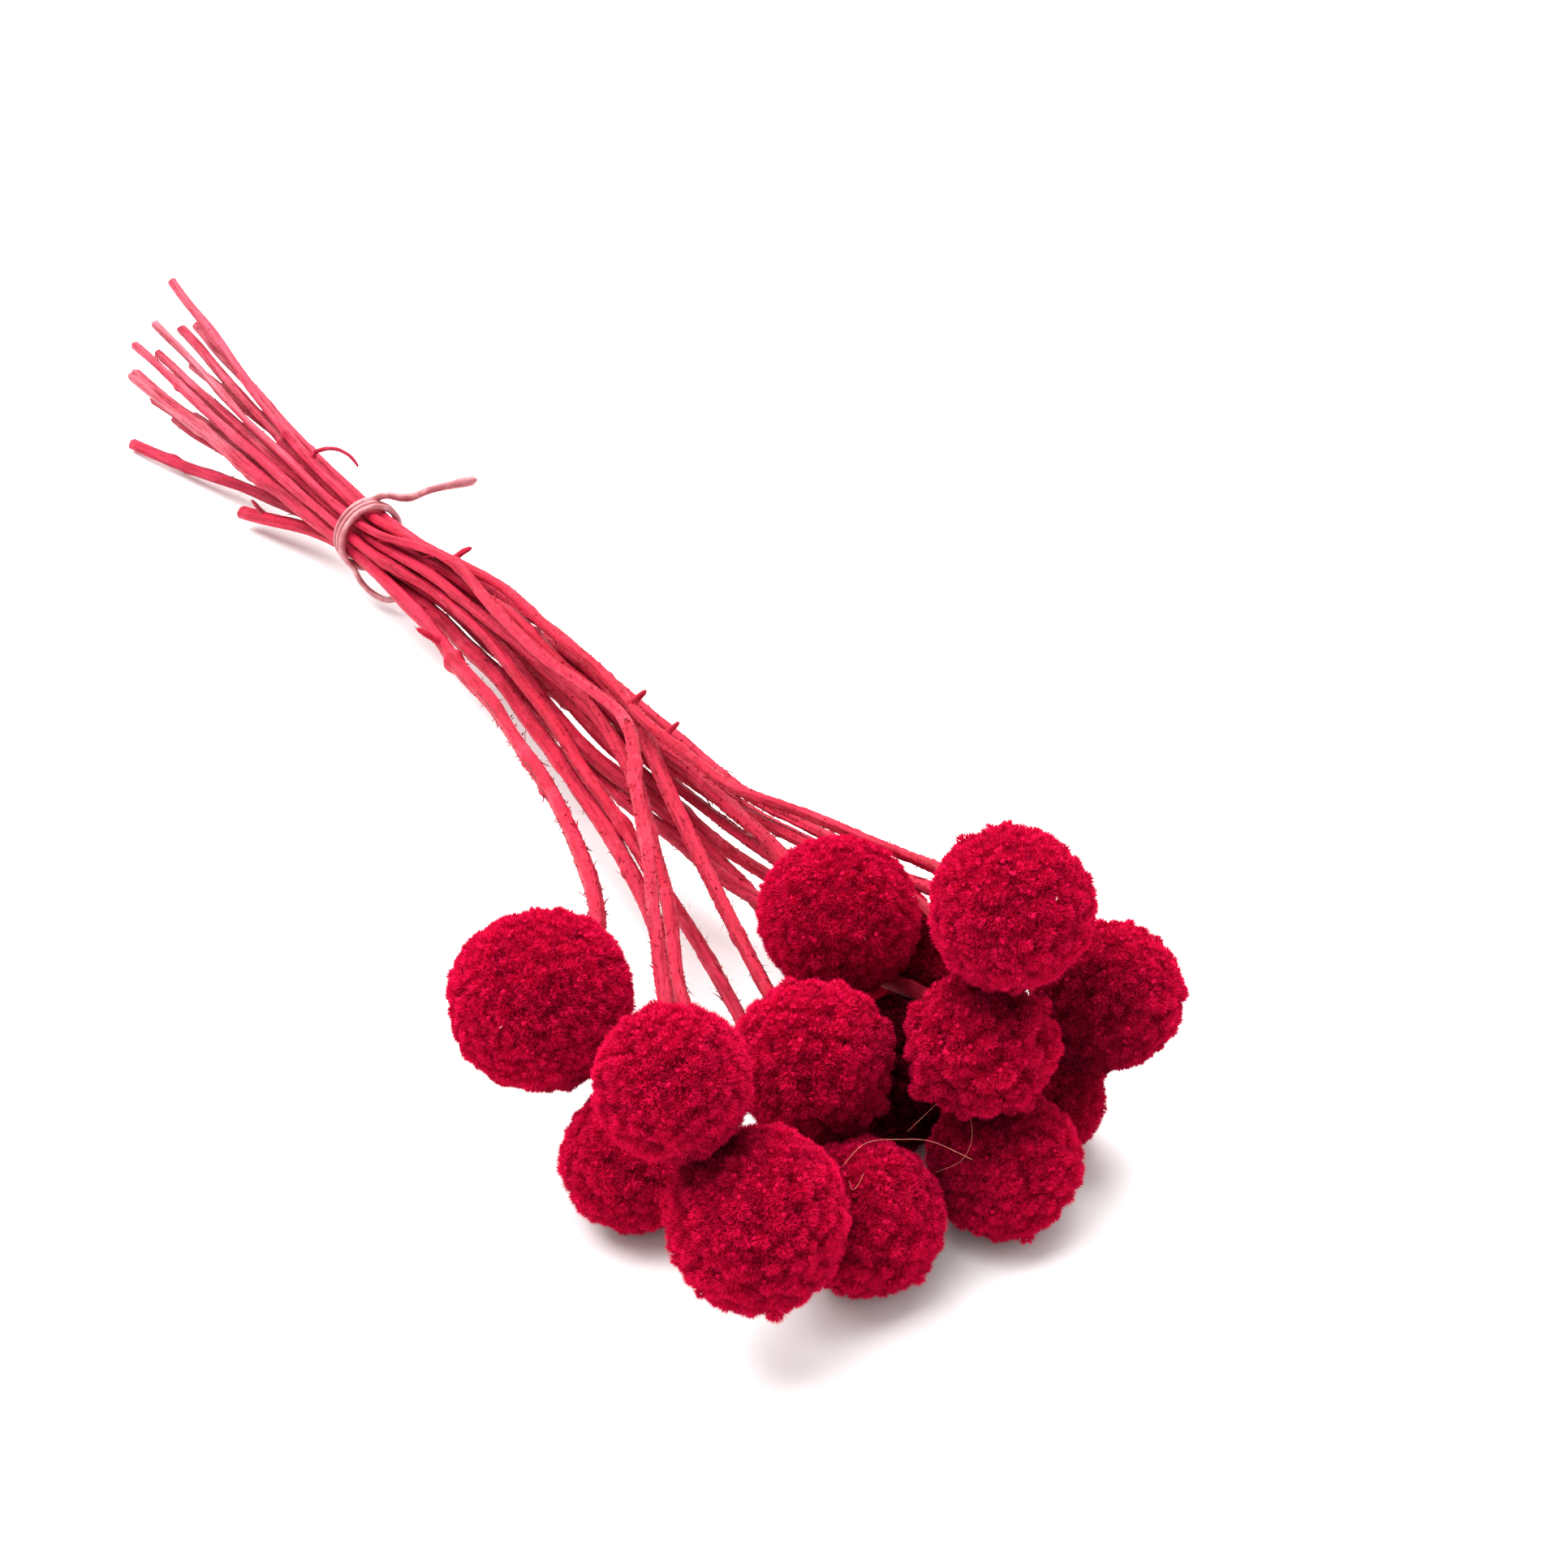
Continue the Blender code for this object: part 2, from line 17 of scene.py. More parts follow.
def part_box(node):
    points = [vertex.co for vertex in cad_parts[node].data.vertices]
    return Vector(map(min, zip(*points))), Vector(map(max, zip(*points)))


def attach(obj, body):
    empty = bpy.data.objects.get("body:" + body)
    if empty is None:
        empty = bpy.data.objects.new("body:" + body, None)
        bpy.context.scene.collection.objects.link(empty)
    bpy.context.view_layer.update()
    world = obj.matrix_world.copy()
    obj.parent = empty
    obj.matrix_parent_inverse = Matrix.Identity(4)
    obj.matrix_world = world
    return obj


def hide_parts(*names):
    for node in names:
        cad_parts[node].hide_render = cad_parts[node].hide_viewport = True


MM = 0.001
TAU = 2 * math.pi
GOLDEN_ANGLE = math.pi * (3 - math.sqrt(5))
CURVE_STEPS = 16  # points between two given points of a smooth curve

# Camera
CAMERA_PLACE = Vector((-140.7, -411.5, 250.0))
CAMERA_AZIMUTH = math.radians(-26)
CAMERA_ELEVATION = math.radians(31)
CAMERA_SENSOR = 36.0
CAMERA_LENS = 61.14
CAMERA_NEAR, CAMERA_FAR = 0.01, 20.0  # metres

# Light, in metres and watts
WORLD_STRENGTH = 0.88
KEY_TARGET = (0.0, -0.02, 0.0)
KEY_WAY = (-0.08, 0.42, 1.0)
KEY_DISTANCE = 1.4
KEY_SIZE = 2.1
KEY_WATTS = 84.0
TABLE_HALF = 4.0
TABLE_GAP = 0.03  # millimetres: nothing hangs lower than this over the table

# Heads. A head is a core, short cup florets sunk in it, and a plush of fine petal tips
FLOWER_COUNT = 15
CELL_AREA = 0.866  # of the pitch squared, for each place in an even packing
STRAY = 0.24  # how far a place strays from even spacing, in pitches
PAST_HEAD = 1.3  # a place on the stem outside the head, in head radii from its middle
FLORET_PITCH = 0.95  # from one floret to the next
FLORET_LENGTH = 1.0
FLORET_LOBES = 5
FLORET_STEM_GAP = 1.3  # no floret stands nearer than this to the middle of the stem
FUZZ_OVER_BALL = 0.25  # the fuzz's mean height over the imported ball
FUZZ_PER_AREA = 52.0  # petal tips and hairs over the florets, per square millimetre
FUZZ_LENGTHS = (0.5, 1.2)
FUZZ_STRAY_LENGTH = 0.5  # a few hairs are up to this much longer
FUZZ_BURIED = 0.75  # share of a tip's length that lies below that height
FUZZ_HALF_WIDTHS = (0.05, 0.12)
FUZZ_STEM_GAP = 1.0
CORE_DEPTH = 0.5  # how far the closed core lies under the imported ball
CORE_SUBDIVISIONS = 5
TUFT_UNEVEN = 0.28  # how much tufts differ in height, as a share of their relief
TUFT_REACH = 0.6  # a tuft falls away over this share of its pitch
TUFT_TOP = 0.45
TUFT_SPLAY = 0.72  # how far the florets lean out at a tuft's edge
LUMP_WAVES, LUMP_TIGHTNESS = 9, 4.0
SHADE_REACH = 4.2  # painted shade: the dye is darkened where heads press together, over about this distance


class HeadLook:
    """How coarse a head is: its florets stand in tufts of this pitch, as proud as this relief.

    lumps is the unevenness of the ball as a share of its radius, grown is added to the packed
    radius, and reach is the distance from other heads over which painted shade darkens the dye.
    """

    def __init__(self, pitch=1.6, relief=0.85, lumps=0.018, grown=0.0, reach=SHADE_REACH):
        self.pitch = pitch
        self.relief = relief
        self.lumps = lumps
        self.grown = grown
        self.reach = reach


HEAD_LOOKS = {
    3: HeadLook(pitch=1.9, relief=0.9),
    4: HeadLook(pitch=1.9, relief=1.0),
    5: HeadLook(pitch=2.0, relief=1.0),
    6: HeadLook(pitch=2.2, relief=1.15, lumps=0.03, grown=0.4),
    # heads 9 and 14 take painted shade from the other heads over a wider reach
    9: HeadLook(pitch=1.9, relief=1.0, reach=7.0),
    10: HeadLook(pitch=2.5, relief=1.7, lumps=0.03, grown=-0.2),
    11: HeadLook(pitch=2.1, relief=1.1),
    14: HeadLook(pitch=2.2, relief=1.1, reach=9.0),
}
PALE_CHAFF = {1: 3, 7: 3, 8: 4, 13: 2}  # pale flakes caught in a head

# Stalks
STALK_STEP = 0.7
STALK_SIDES = 28
STALK_FULLNESS = 0.97  # a dry stem is flat and grooved, so it is narrower than its packed tube
STALK_JOINTS = 9
STALK_WANDER = 0.24  # how far a free stem strays from its packed line
JOINT_FROM_CUT, JOINT_FROM_HEAD = 15, 25
CUT_HOLLOW = 0.5  # the pith of the cut face has shrunk inwards by this share of the radius
CUT_RIM = 0.72  # where the rim of the cut face ends, as a share of the radius
SLICE_STEP = 2.0  # between the cuts that measure a packed stem
SMOOTHING = 4.0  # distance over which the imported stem's bends are rounded
PALE_FROM, PALE_TO = 0.0, 165.0  # the dye fades along Y between these
ROUGH_REACH = 100  # the skin gets rougher over this distance towards the heads
BARBS = (
    # number on each stalk, lengths, widths, how far out they lean
    (420, (0.3, 0.8), (0.14, 0.34), 0.7),
    (50, (0.8, 2.0), (0.07, 0.12), 1.2),
    (40, (1.2, 4.0), (0.25, 0.60), 0.16),
)

# Small pieces
STUB_COUNT = 5
STUB_SIDES = 12
STUB_STEP = 0.16
STUB_FOOT_SHARE = 0.3  # this share of a packed stub's corners, the nearest ones, is its foot
STUB_HAIRS = 10
SHOOT_STEP = 0.25
SHOOT_LENGTH = 14.0
SHOOT_SLICES = 9

# Loose threads: a head, and points in head radii to the right, up and out towards the viewer
THREAD_RADIUS = 0.034
THREAD_STEP = 0.3
THREAD_SIDES = 5
THREADS = (
    (
        5,
        (
            (-0.33, 0.80, 0.70),
            (-0.02, 1.08, 0.60),
            (0.45, 1.15, 0.75),
            (0.85, 1.12, 0.80),
            (1.35, 0.90, 0.85),
        ),
    ),
    (11, ((-1.35, 0.50, 0.60), (-1.00, 0.85, 0.70), (-0.65, 1.15, 0.75))),
    (
        11,
        (
            (-0.85, 1.25, 0.55),
            (-0.76, 0.98, 0.70),
            (-0.54, 0.78, 0.78),
            (-0.50, 0.45, 0.88),
            (-0.64, 0.15, 0.86),
            (-0.98, -0.05, 0.62),
        ),
    ),
    (5, ((-0.25, 0.62, 0.86), (-0.20, 0.52, 0.92), (-0.12, 0.60, 0.88), (-0.06, 0.72, 0.84))),
)

# Elastic band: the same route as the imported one
BAND_CENTRE = Vector((-0.9, 68.5, 13.2))
BAND_RING_RADIUS = 6.79
BAND_PITCH = 1.75
BAND_TILT = 0.17
BAND_TURNS = 2 + 150 / 360
BAND_START = math.radians(75)
BAND_WOUND_POINTS = 90
BAND_STEP = 0.3
BAND_SIDES = 18
BAND_RADIUS = 0.62  # of the strand where it is stretched
BAND_TAIL_END = 27.0  # distance along the strand at which it meets the stems
BAND_TAIL = (
    (18.6, 55.5, 27.1),
    (14.7, 58.5, 25.6),
    (11.0, 62.0, 23.8),
    (8.2, 65.5, 21.3),
    (6.0, 67.4, 20.8),
    (3.4, 68.9, 21.2),
)
BAND_LOOP = (
    (-4.6, 64.2, 5.2),
    (-3.4, 60.6, 4.0),
    (-1.4, 57.4, 3.6),
    (0.8, 56.6, 4.6),
    (1.9, 59.0, 5.2),
    (1.2, 63.0, 5.4),
)

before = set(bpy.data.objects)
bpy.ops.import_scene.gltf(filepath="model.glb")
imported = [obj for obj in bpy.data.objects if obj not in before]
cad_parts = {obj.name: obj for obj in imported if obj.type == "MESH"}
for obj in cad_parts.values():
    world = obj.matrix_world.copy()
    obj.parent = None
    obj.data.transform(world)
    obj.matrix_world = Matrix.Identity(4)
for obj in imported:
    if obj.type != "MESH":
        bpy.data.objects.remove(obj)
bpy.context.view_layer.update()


# ---------------------------------------------------------------- mesh tools


class Part:
    """Some of a piece: vertices in millimetres, faces of one size, values per vertex, a material."""

    def __init__(self, vertices, faces, values=None, material=0):
        self.vertices = np.asarray(vertices, float).reshape(-1, 3)
        self.faces = np.asarray(faces, int)
        self.values = values or {}
        self.material = material


def build_piece(name, parts, materials, replaces):
    """One mesh object from parts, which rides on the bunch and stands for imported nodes."""
    mesh = bpy.data.meshes.new(name)
    vertices = np.concatenate([part.vertices for part in parts])
    vertices[:, 2] = np.maximum(vertices[:, 2], TABLE_GAP)
    firsts = np.cumsum([0] + [len(part.vertices) for part in parts])
    loops = np.concatenate([(part.faces + first).ravel() for part, first in zip(parts, firsts)])
    sizes = np.concatenate([np.full(len(part.faces), part.faces.shape[1]) for part in parts])
    slots = np.concatenate([np.full(len(part.faces), part.material) for part in parts])
    mesh.vertices.add(len(vertices))
    mesh.vertices.foreach_set("co", (vertices * MM).ravel())
    mesh.loops.add(len(loops))
    mesh.loops.foreach_set("vertex_index", loops)
    mesh.polygons.add(len(sizes))
    mesh.polygons.foreach_set("loop_start", np.cumsum(sizes) - sizes)
    mesh.polygons.foreach_set("material_index", slots)
    for key in sorted({key for part in parts for key in part.values}):
        blank = next(np.asarray(part.values[key]) for part in parts if key in part.values)
        kind, field = ("FLOAT_VECTOR", "vector") if blank.ndim == 2 else ("FLOAT", "value")
        rows = [
            part.values.get(key, np.zeros((len(part.vertices),) + blank.shape[1:]))
            for part in parts
        ]
        mesh.attributes.new(key, kind, "POINT").data.foreach_set(field, np.concatenate(rows).ravel())
    mesh.update(calc_edges=True)
    mesh.shade_smooth()
    for material in materials:
        mesh.materials.append(material)
    piece = bpy.data.objects.new(name, mesh)
    bpy.context.scene.collection.objects.link(piece)
    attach(piece, "root")
    if replaces:
        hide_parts(*replaces)
    return piece


def unit(vectors):
    """The same directions at length 1."""
    return vectors / np.linalg.norm(vectors, axis=-1, keepdims=True)


def evenly_spaced(points, step):
    """The polyline's points again, at this step along it."""
    points = np.asarray(points, float)
    travelled = np.concatenate([[0], np.cumsum(np.linalg.norm(np.diff(points, axis=0), axis=1))])
    wanted = np.linspace(0, travelled[-1], max(3, round(travelled[-1] / step) + 1))
    return np.column_stack([np.interp(wanted, travelled, points[:, axis]) for axis in range(3)])


def rounded(rows, reach):
    """Evenly spaced rows with their corners rounded over this many rows. The ends stay."""
    rows = np.asarray(rows, float)
    pad = min(int(3 * reach), len(rows) - 1)
    before = 2 * rows[0] - rows[pad:0:-1]
    after = 2 * rows[-1] - rows[-2 : -pad - 2 : -1]
    padded = np.concatenate([before, rows, after])
    weights = np.exp(-0.5 * (np.arange(-pad, pad + 1) / reach) ** 2)
    weights /= weights.sum()
    flat = padded.reshape(len(padded), -1)
    smooth = np.column_stack([np.convolve(column, weights, "valid") for column in flat.T])
    return smooth.reshape(rows.shape)


def curve_through(points, step):
    """A smooth curve through a few points, at this step."""
    points = [Vector(p) for p in points]
    padded = [2 * points[0] - points[1], *points, 2 * points[-1] - points[-2]]
    out = []
    for a, b, c, d in zip(padded, padded[1:], padded[2:], padded[3:]):
        for t in np.linspace(0, 1, CURVE_STEPS, endpoint=False):
            bend = 2 * b + (c - a) * t + (2 * a - 5 * b + 4 * c - d) * t**2
            out.append(0.5 * (bend + (3 * b - a - 3 * c + d) * t**3))
    return evenly_spaced([*out, points[-1]], step)


def carried_frames(points):
    """Tangent, side and normal at each point, carried along the curve without a twist."""
    tangents = unit(np.gradient(points, axis=0))
    side = np.cross(tangents[0], (0.0, 0.0, 1.0))
    if np.linalg.norm(side) < 0.1:
        side = np.cross(tangents[0], (1.0, 0.0, 0.0))
    sides = []
    for tangent in tangents:
        side = unit(side - tangent * np.dot(side, tangent))
        sides.append(side)
    sides = np.array(sides)
    return tangents, sides, np.cross(tangents, sides)


def waves(rng, count, around, along, angle, distance):
    """A smooth random pattern on a tube, about -1 to 1.

    around gives the fewest and most whole waves round the tube, and along the most radians per
    millimetre along it.
    """
    total = np.zeros(np.broadcast(angle, distance).shape)
    for _ in range(count):
        turns = rng.integers(around[0], around[1] + 1)
        total += np.cos(turns * angle + rng.uniform(-along, along) * distance + rng.uniform(0, TAU))
    return total / math.sqrt(count)


def ball_waves(rng, count, tightness, directions):
    """A smooth random pattern on a ball, about -1 to 1."""
    total = np.zeros(len(directions))
    for _ in range(count):
        total += np.cos(directions @ (unit(rng.normal(size=3)) * tightness) + rng.uniform(0, TAU))
    return total / math.sqrt(count)


def tube(points, radii, sides, values=None, hollow=0.0):
    """A tube round points. radii has one row per point and one column per side, or one column.

    hollow sinks the middle of the first end by this share of its radius. Two parts come back, the
    wall with its rim, and the caps that close both ends. The caps have no vertices of their own:
    their faces count back from the end of the wall's, so they have to follow it in a piece.
    """
    points = np.asarray(points, float)
    radii = np.broadcast_to(np.asarray(radii, float).reshape(len(points), -1), (len(points), sides))
    tangents, side, normal = carried_frames(points)
    angle = np.arange(sides) * TAU / sides
    out = side[:, None] * np.cos(angle)[:, None] + normal[:, None] * np.sin(angle)[:, None]
    rings = points[:, None] + out * radii[..., None]
    first = (np.arange(len(points) - 1) * sides)[:, None]
    here = np.arange(sides)
    after = (here + 1) % sides
    walls = np.stack([first + here, first + after, first + sides + after, first + sides + here], -1)
    depth = tangents[0] * radii[0].mean() * hollow
    sunk = points[0] + depth
    inner = points[0] + (rings[0] - points[0]) * CUT_RIM + depth * 0.5
    body = len(points) * sides
    vertices = np.concatenate([rings.reshape(-1, 3), inner, [sunk], [points[-1]]])
    rim = np.stack([after, here, body + here, body + after], -1)
    middle = np.stack([body + after, body + here, np.full(sides, body + sides)], -1)
    end = body - sides
    far = np.stack([end + here, end + after, np.full(sides, body + sides + 1)], -1)
    spread = {}
    for key, rows in (values or {}).items():
        rows = np.asarray(rows, float).reshape((body,) + np.asarray(rows).shape[2:])
        extra = np.concatenate([rows[:sides], rows[:1], rows[-1:]])
        spread[key] = np.concatenate([rows, extra])
    empty = {key: rows[:0] for key, rows in spread.items()}
    none = np.zeros((0, 3))
    shell = Part(vertices, np.concatenate([walls.reshape(-1, 4), rim]), spread)
    caps = np.concatenate([middle, far])
    return shell, Part(none, caps - len(vertices), empty)


def blades(feet, ways, lifts, lengths, widths, values, material=0):
    """Thin curved blades: each leaves its foot along its way, and bends over towards its lift."""
    across = unit(np.cross(ways, lifts) + 1e-9)
    rows = []
    for share, wide in ((0.0, 1.0), (0.55, 0.7)):
        middle = feet + ways * (lengths * share)[:, None] + lifts * (lengths * share**2 * 0.5)[:, None]
        rows.append(middle - across * (widths * wide / 2)[:, None])
        rows.append(middle + across * (widths * wide / 2)[:, None])
    rows.append(feet + ways * lengths[:, None] + lifts * (lengths * 0.5)[:, None])
    vertices = np.stack(rows, 1).reshape(-1, 3)
    first = (np.arange(len(feet)) * 5)[:, None, None]
    faces = first + np.array([[0, 1, 3], [0, 3, 2], [2, 3, 4]])
    spread = {key: np.repeat(np.asarray(rows, float), 5, axis=0) for key, rows in values.items()}
    return Part(vertices, faces.reshape(-1, 3), spread, material)


# ---------------------------------------------------------------- materials


class Look:
    """A material whose nodes are added by name, with values or other nodes' outputs as inputs."""

    def __init__(self, name, **shader_inputs):
        self.material = bpy.data.materials.new(name)
        self.material.use_nodes = True
        self.tree = self.material.node_tree
        self.shader = self.tree.nodes["Principled BSDF"]
        for socket, value in shader_inputs.items():
            self.feed(self.shader.inputs[socket.replace("_", " ")], value)

    def feed(self, socket, value):
        if isinstance(value, bpy.types.NodeSocket):
            self.tree.links.new(value, socket)
        else:
            socket.default_value = value

    def add(self, kind, inputs, **settings):
        node = self.tree.nodes.new("ShaderNode" + kind)
        for key, value in settings.items():
            setattr(node, key, value)
        for key, value in inputs.items():
            self.feed(node.inputs[key], value)
        return node

    def value(self, name):
        return self.add("Attribute", {}, attribute_name=name).outputs["Fac"]

    def vector(self, name):
        return self.add("Attribute", {}, attribute_name=name).outputs["Vector"]

    def place(self):
        return self.add("TexCoord", {}).outputs["Object"]

    def noise(self, where, scale, detail=3.0, roughness=0.55):
        inputs = {"Vector": where, "Scale": scale, "Detail": detail, "Roughness": roughness}
        return self.add("TexNoise", inputs).outputs["Fac"]

    def cells(self, where, scale):
        return self.add("TexVoronoi", {"Vector": where, "Scale": scale}).outputs["Distance"]

    def between(self, value, low, high, new_low=0.0, new_high=1.0):
        inputs = {"Value": value, "From Min": low, "From Max": high, "To Min": new_low, "To Max": new_high}
        return self.add("MapRange", inputs).outputs["Result"]

    def maths(self, operation, a, b):
        return self.add("Math", {0: a, 1: b}, operation=operation).outputs[0]

    def mix(self, factor, a, b, blend="MIX"):
        node = self.add("Mix", {0: factor, 6: a, 7: b}, data_type="RGBA", blend_type=blend)
        return node.outputs[2]

    def ramp(self, factor, *stops):
        node = self.add("ValToRGB", {"Fac": factor})
        elements = node.color_ramp.elements
        while len(elements) < len(stops):
            elements.new(0.5)
        for element, (position, colour) in zip(elements, stops):
            element.position = position
            element.color = (*colour, 1.0)
        return node.outputs["Color"]

    def colour(self, socket):
        self.feed(self.shader.inputs["Base Color"], socket)

    def roughness(self, socket):
        self.feed(self.shader.inputs["Roughness"], socket)

    def bump(self, height, distance, strength=1.0):
        node = self.add("Bump", {"Height": height, "Distance": distance, "Strength": strength})
        self.feed(self.shader.inputs["Normal"], node.outputs["Normal"])


def floret_look():
    """Petals: dark crimson at the foot, partly their own dye and partly painted shade down among the
    florets, bright at the tips, blotched, with painted shade in the tufts' hollows and where heads meet.
    """
    look = Look("dyed_florets", Sheen_Weight=0.12, Sheen_Roughness=0.4, Specular_IOR_Level=0.03)
    look.feed(look.shader.inputs["Sheen Tint"], (1.0, 0.02, 0.12, 1.0))
    place = look.place()
    mottle = look.between(look.noise(place, 560.0, detail=4.0), 0.35, 0.65)
    # darker towards each floret's foot: partly the petals' own deeper dye, partly painted shade down among
    # the florets
    rise = look.ramp(
        look.value("growth"),
        (0.0, (0.25, 0.0002, 0.018)),
        (0.5, (0.45, 0.0004, 0.036)),
        (0.85, (0.70, 0.0016, 0.062)),
        (1.0, (0.90, 0.0060, 0.086)),
    )
    patchy = look.mix(look.maths("MULTIPLY", mottle, 0.6), rise, (0.38, 0.0005, 0.024, 1.0))
    # painted shade: the hollows between tufts are darker
    shade = look.between(look.value("depth"), -0.9, 0.5, 0.45, 1.0)
    sunk = look.mix(1.0, patchy, shade, "MULTIPLY")
    bright = look.maths("MULTIPLY", look.value("tint"), 0.42)
    lit = look.mix(bright, sunk, (0.95, 0.014, 0.100, 1.0))
    # painted shade: the colour is darkened where other heads are near
    dark = look.between(look.value("closed"), 0.22, 0.92, 1.0, 0.08)
    look.colour(look.mix(1.0, lit, dark, "MULTIPLY"))
    look.roughness(look.between(look.noise(place, 2400.0), 0.3, 0.7, 0.8, 1.0))
    look.bump(look.noise(place, 5200.0, detail=2.0), 0.00006, 0.6)
    return look.material


def core_look():
    """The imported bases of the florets, seen only as shade between them."""
    look = Look("floret_bases", Specular_IOR_Level=0.02)
    place = look.place()
    bases = look.cells(place, 1500.0)
    look.colour(look.ramp(bases, (0.0, (0.42, 0.0006, 0.026)), (0.8, (0.24, 0.0003, 0.014))))
    look.roughness(look.between(look.noise(place, 900.0), 0.0, 1.0, 0.85, 1.0))
    look.bump(bases, 0.0003)
    return look.material


def stalk_look():
    """Dyed and dried stem: long fibres, blotches where the dye took, paler towards the cut end."""
    look = Look("dyed_stalk", Specular_IOR_Level=0.12)
    grain = look.vector("grain")
    place = look.place()
    fibres = look.noise(grain, 1.8, detail=7.0, roughness=0.70)
    blotches = look.noise(place, 210.0, detail=4.0)
    flecks = look.noise(place, 900.0, detail=3.0)
    dyed = look.ramp(
        look.value("fade"),
        (0.0, (0.44, 0.0020, 0.024)),
        (0.25, (0.44, 0.0045, 0.030)),
        (0.60, (0.46, 0.017, 0.050)),
        (1.0, (0.50, 0.12, 0.155)),
    )
    rose = look.mix(look.maths("MULTIPLY", look.value("rosy"), 0.6), dyed, (0.50, 0.020, 0.064, 1.0))
    streaks = look.between(fibres, 0.42, 0.62)
    streaked = look.mix(look.maths("MULTIPLY", streaks, 0.78), rose, (0.19, 0.0007, 0.010, 1.0))
    bare = look.between(blotches, 0.54, 0.72)
    pale = look.mix(look.maths("MULTIPLY", bare, 0.30), streaked, (0.62, 0.060, 0.105, 1.0))
    scars = look.between(flecks, 0.60, 0.70)
    scarred = look.mix(look.maths("MULTIPLY", scars, 0.45), pale, (0.16, 0.0006, 0.008, 1.0))
    look.colour(scarred)
    look.roughness(look.between(fibres, 0.3, 0.7, 0.42, 0.72))
    look.bump(look.maths("ADD", fibres, look.maths("MULTIPLY", flecks, 0.5)), 0.00030, 1.0)
    return look.material


def pith_look():
    """The cut face of a stem: a pale spongy middle."""
    look = Look("cut_pith", Specular_IOR_Level=0.2)
    place = look.place()
    pores = look.cells(place, 3800.0)
    pale = look.ramp(
        pores,
        (0.0, (0.34, 0.05, 0.07)),
        (0.35, (0.60, 0.27, 0.28)),
        (1.0, (0.70, 0.42, 0.41)),
    )
    look.colour(pale)
    look.roughness(look.between(pores, 0.0, 0.6, 0.95, 0.75))
    look.bump(pores, 0.0002)
    return look.material


def rubber_look():
    """Stretched elastic: dusty pink, cloudy, a little shiny."""
    look = Look(
        "pink_rubber",
        Subsurface_Weight=0.35,
        Subsurface_Scale=0.001,
        Coat_Weight=0.25,
        Coat_Roughness=0.3,
    )
    look.feed(look.shader.inputs["Subsurface Radius"], (1.0, 0.45, 0.4))
    place = look.place()
    clouds = look.noise(place, 420.0, detail=4.0)
    wrinkles = look.noise(look.vector("grain"), 4.0, detail=4.0)
    cloudy = look.ramp(
        clouds,
        (0.3, (0.30, 0.055, 0.070)),
        (0.55, (0.40, 0.115, 0.130)),
        (0.72, (0.50, 0.25, 0.26)),
    )
    look.colour(cloudy)
    look.roughness(look.between(wrinkles, 0.3, 0.7, 0.30, 0.52))
    look.bump(wrinkles, 0.00012, 0.7)
    return look.material


def chaff_look():
    """Dry flakes and loose fibres that took little dye."""
    look = Look("dry_chaff", Specular_IOR_Level=0.3)
    place = look.place()
    grain = look.noise(place, 1800.0, detail=4.0)
    straw = look.ramp(
        grain,
        (0.3, (0.48, 0.10, 0.12)),
        (0.6, (0.62, 0.33, 0.31)),
        (0.8, (0.70, 0.52, 0.47)),
    )
    look.colour(straw)
    look.roughness(look.between(grain, 0.3, 0.7, 0.6, 0.85))
    look.bump(grain, 0.0001)
    return look.material


def thread_look():
    """Fine reddish-tan fibres that lie over the heads."""
    look = Look("tan_threads", Specular_IOR_Level=0.3)
    place = look.place()
    grain = look.noise(place, 900.0, detail=3.0)
    look.colour(look.ramp(grain, (0.3, (0.42, 0.07, 0.06)), (0.7, (0.62, 0.24, 0.17))))
    look.roughness(look.between(grain, 0.3, 0.7, 0.5, 0.7))
    look.bump(grain, 0.00003)
    return look.material


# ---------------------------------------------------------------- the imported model, measured


def node_corners(name):
    """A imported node's vertices, in millimetres."""
    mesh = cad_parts[name].data
    flat = np.empty(len(mesh.vertices) * 3)
    mesh.vertices.foreach_get("co", flat)
    return flat.reshape(-1, 3) / MM


def head_ball(number):
    """Middle and radius of a packed head. Its top and sides are round; its underside may be flat."""
    low, high = (np.array(corner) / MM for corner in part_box(f"flower_{number:02d}_head"))
    radius = (high[0] - low[0] + high[1] - low[1]) / 4
    middle = (low + high) / 2
    middle[2] = high[2] - radius
    return middle, radius


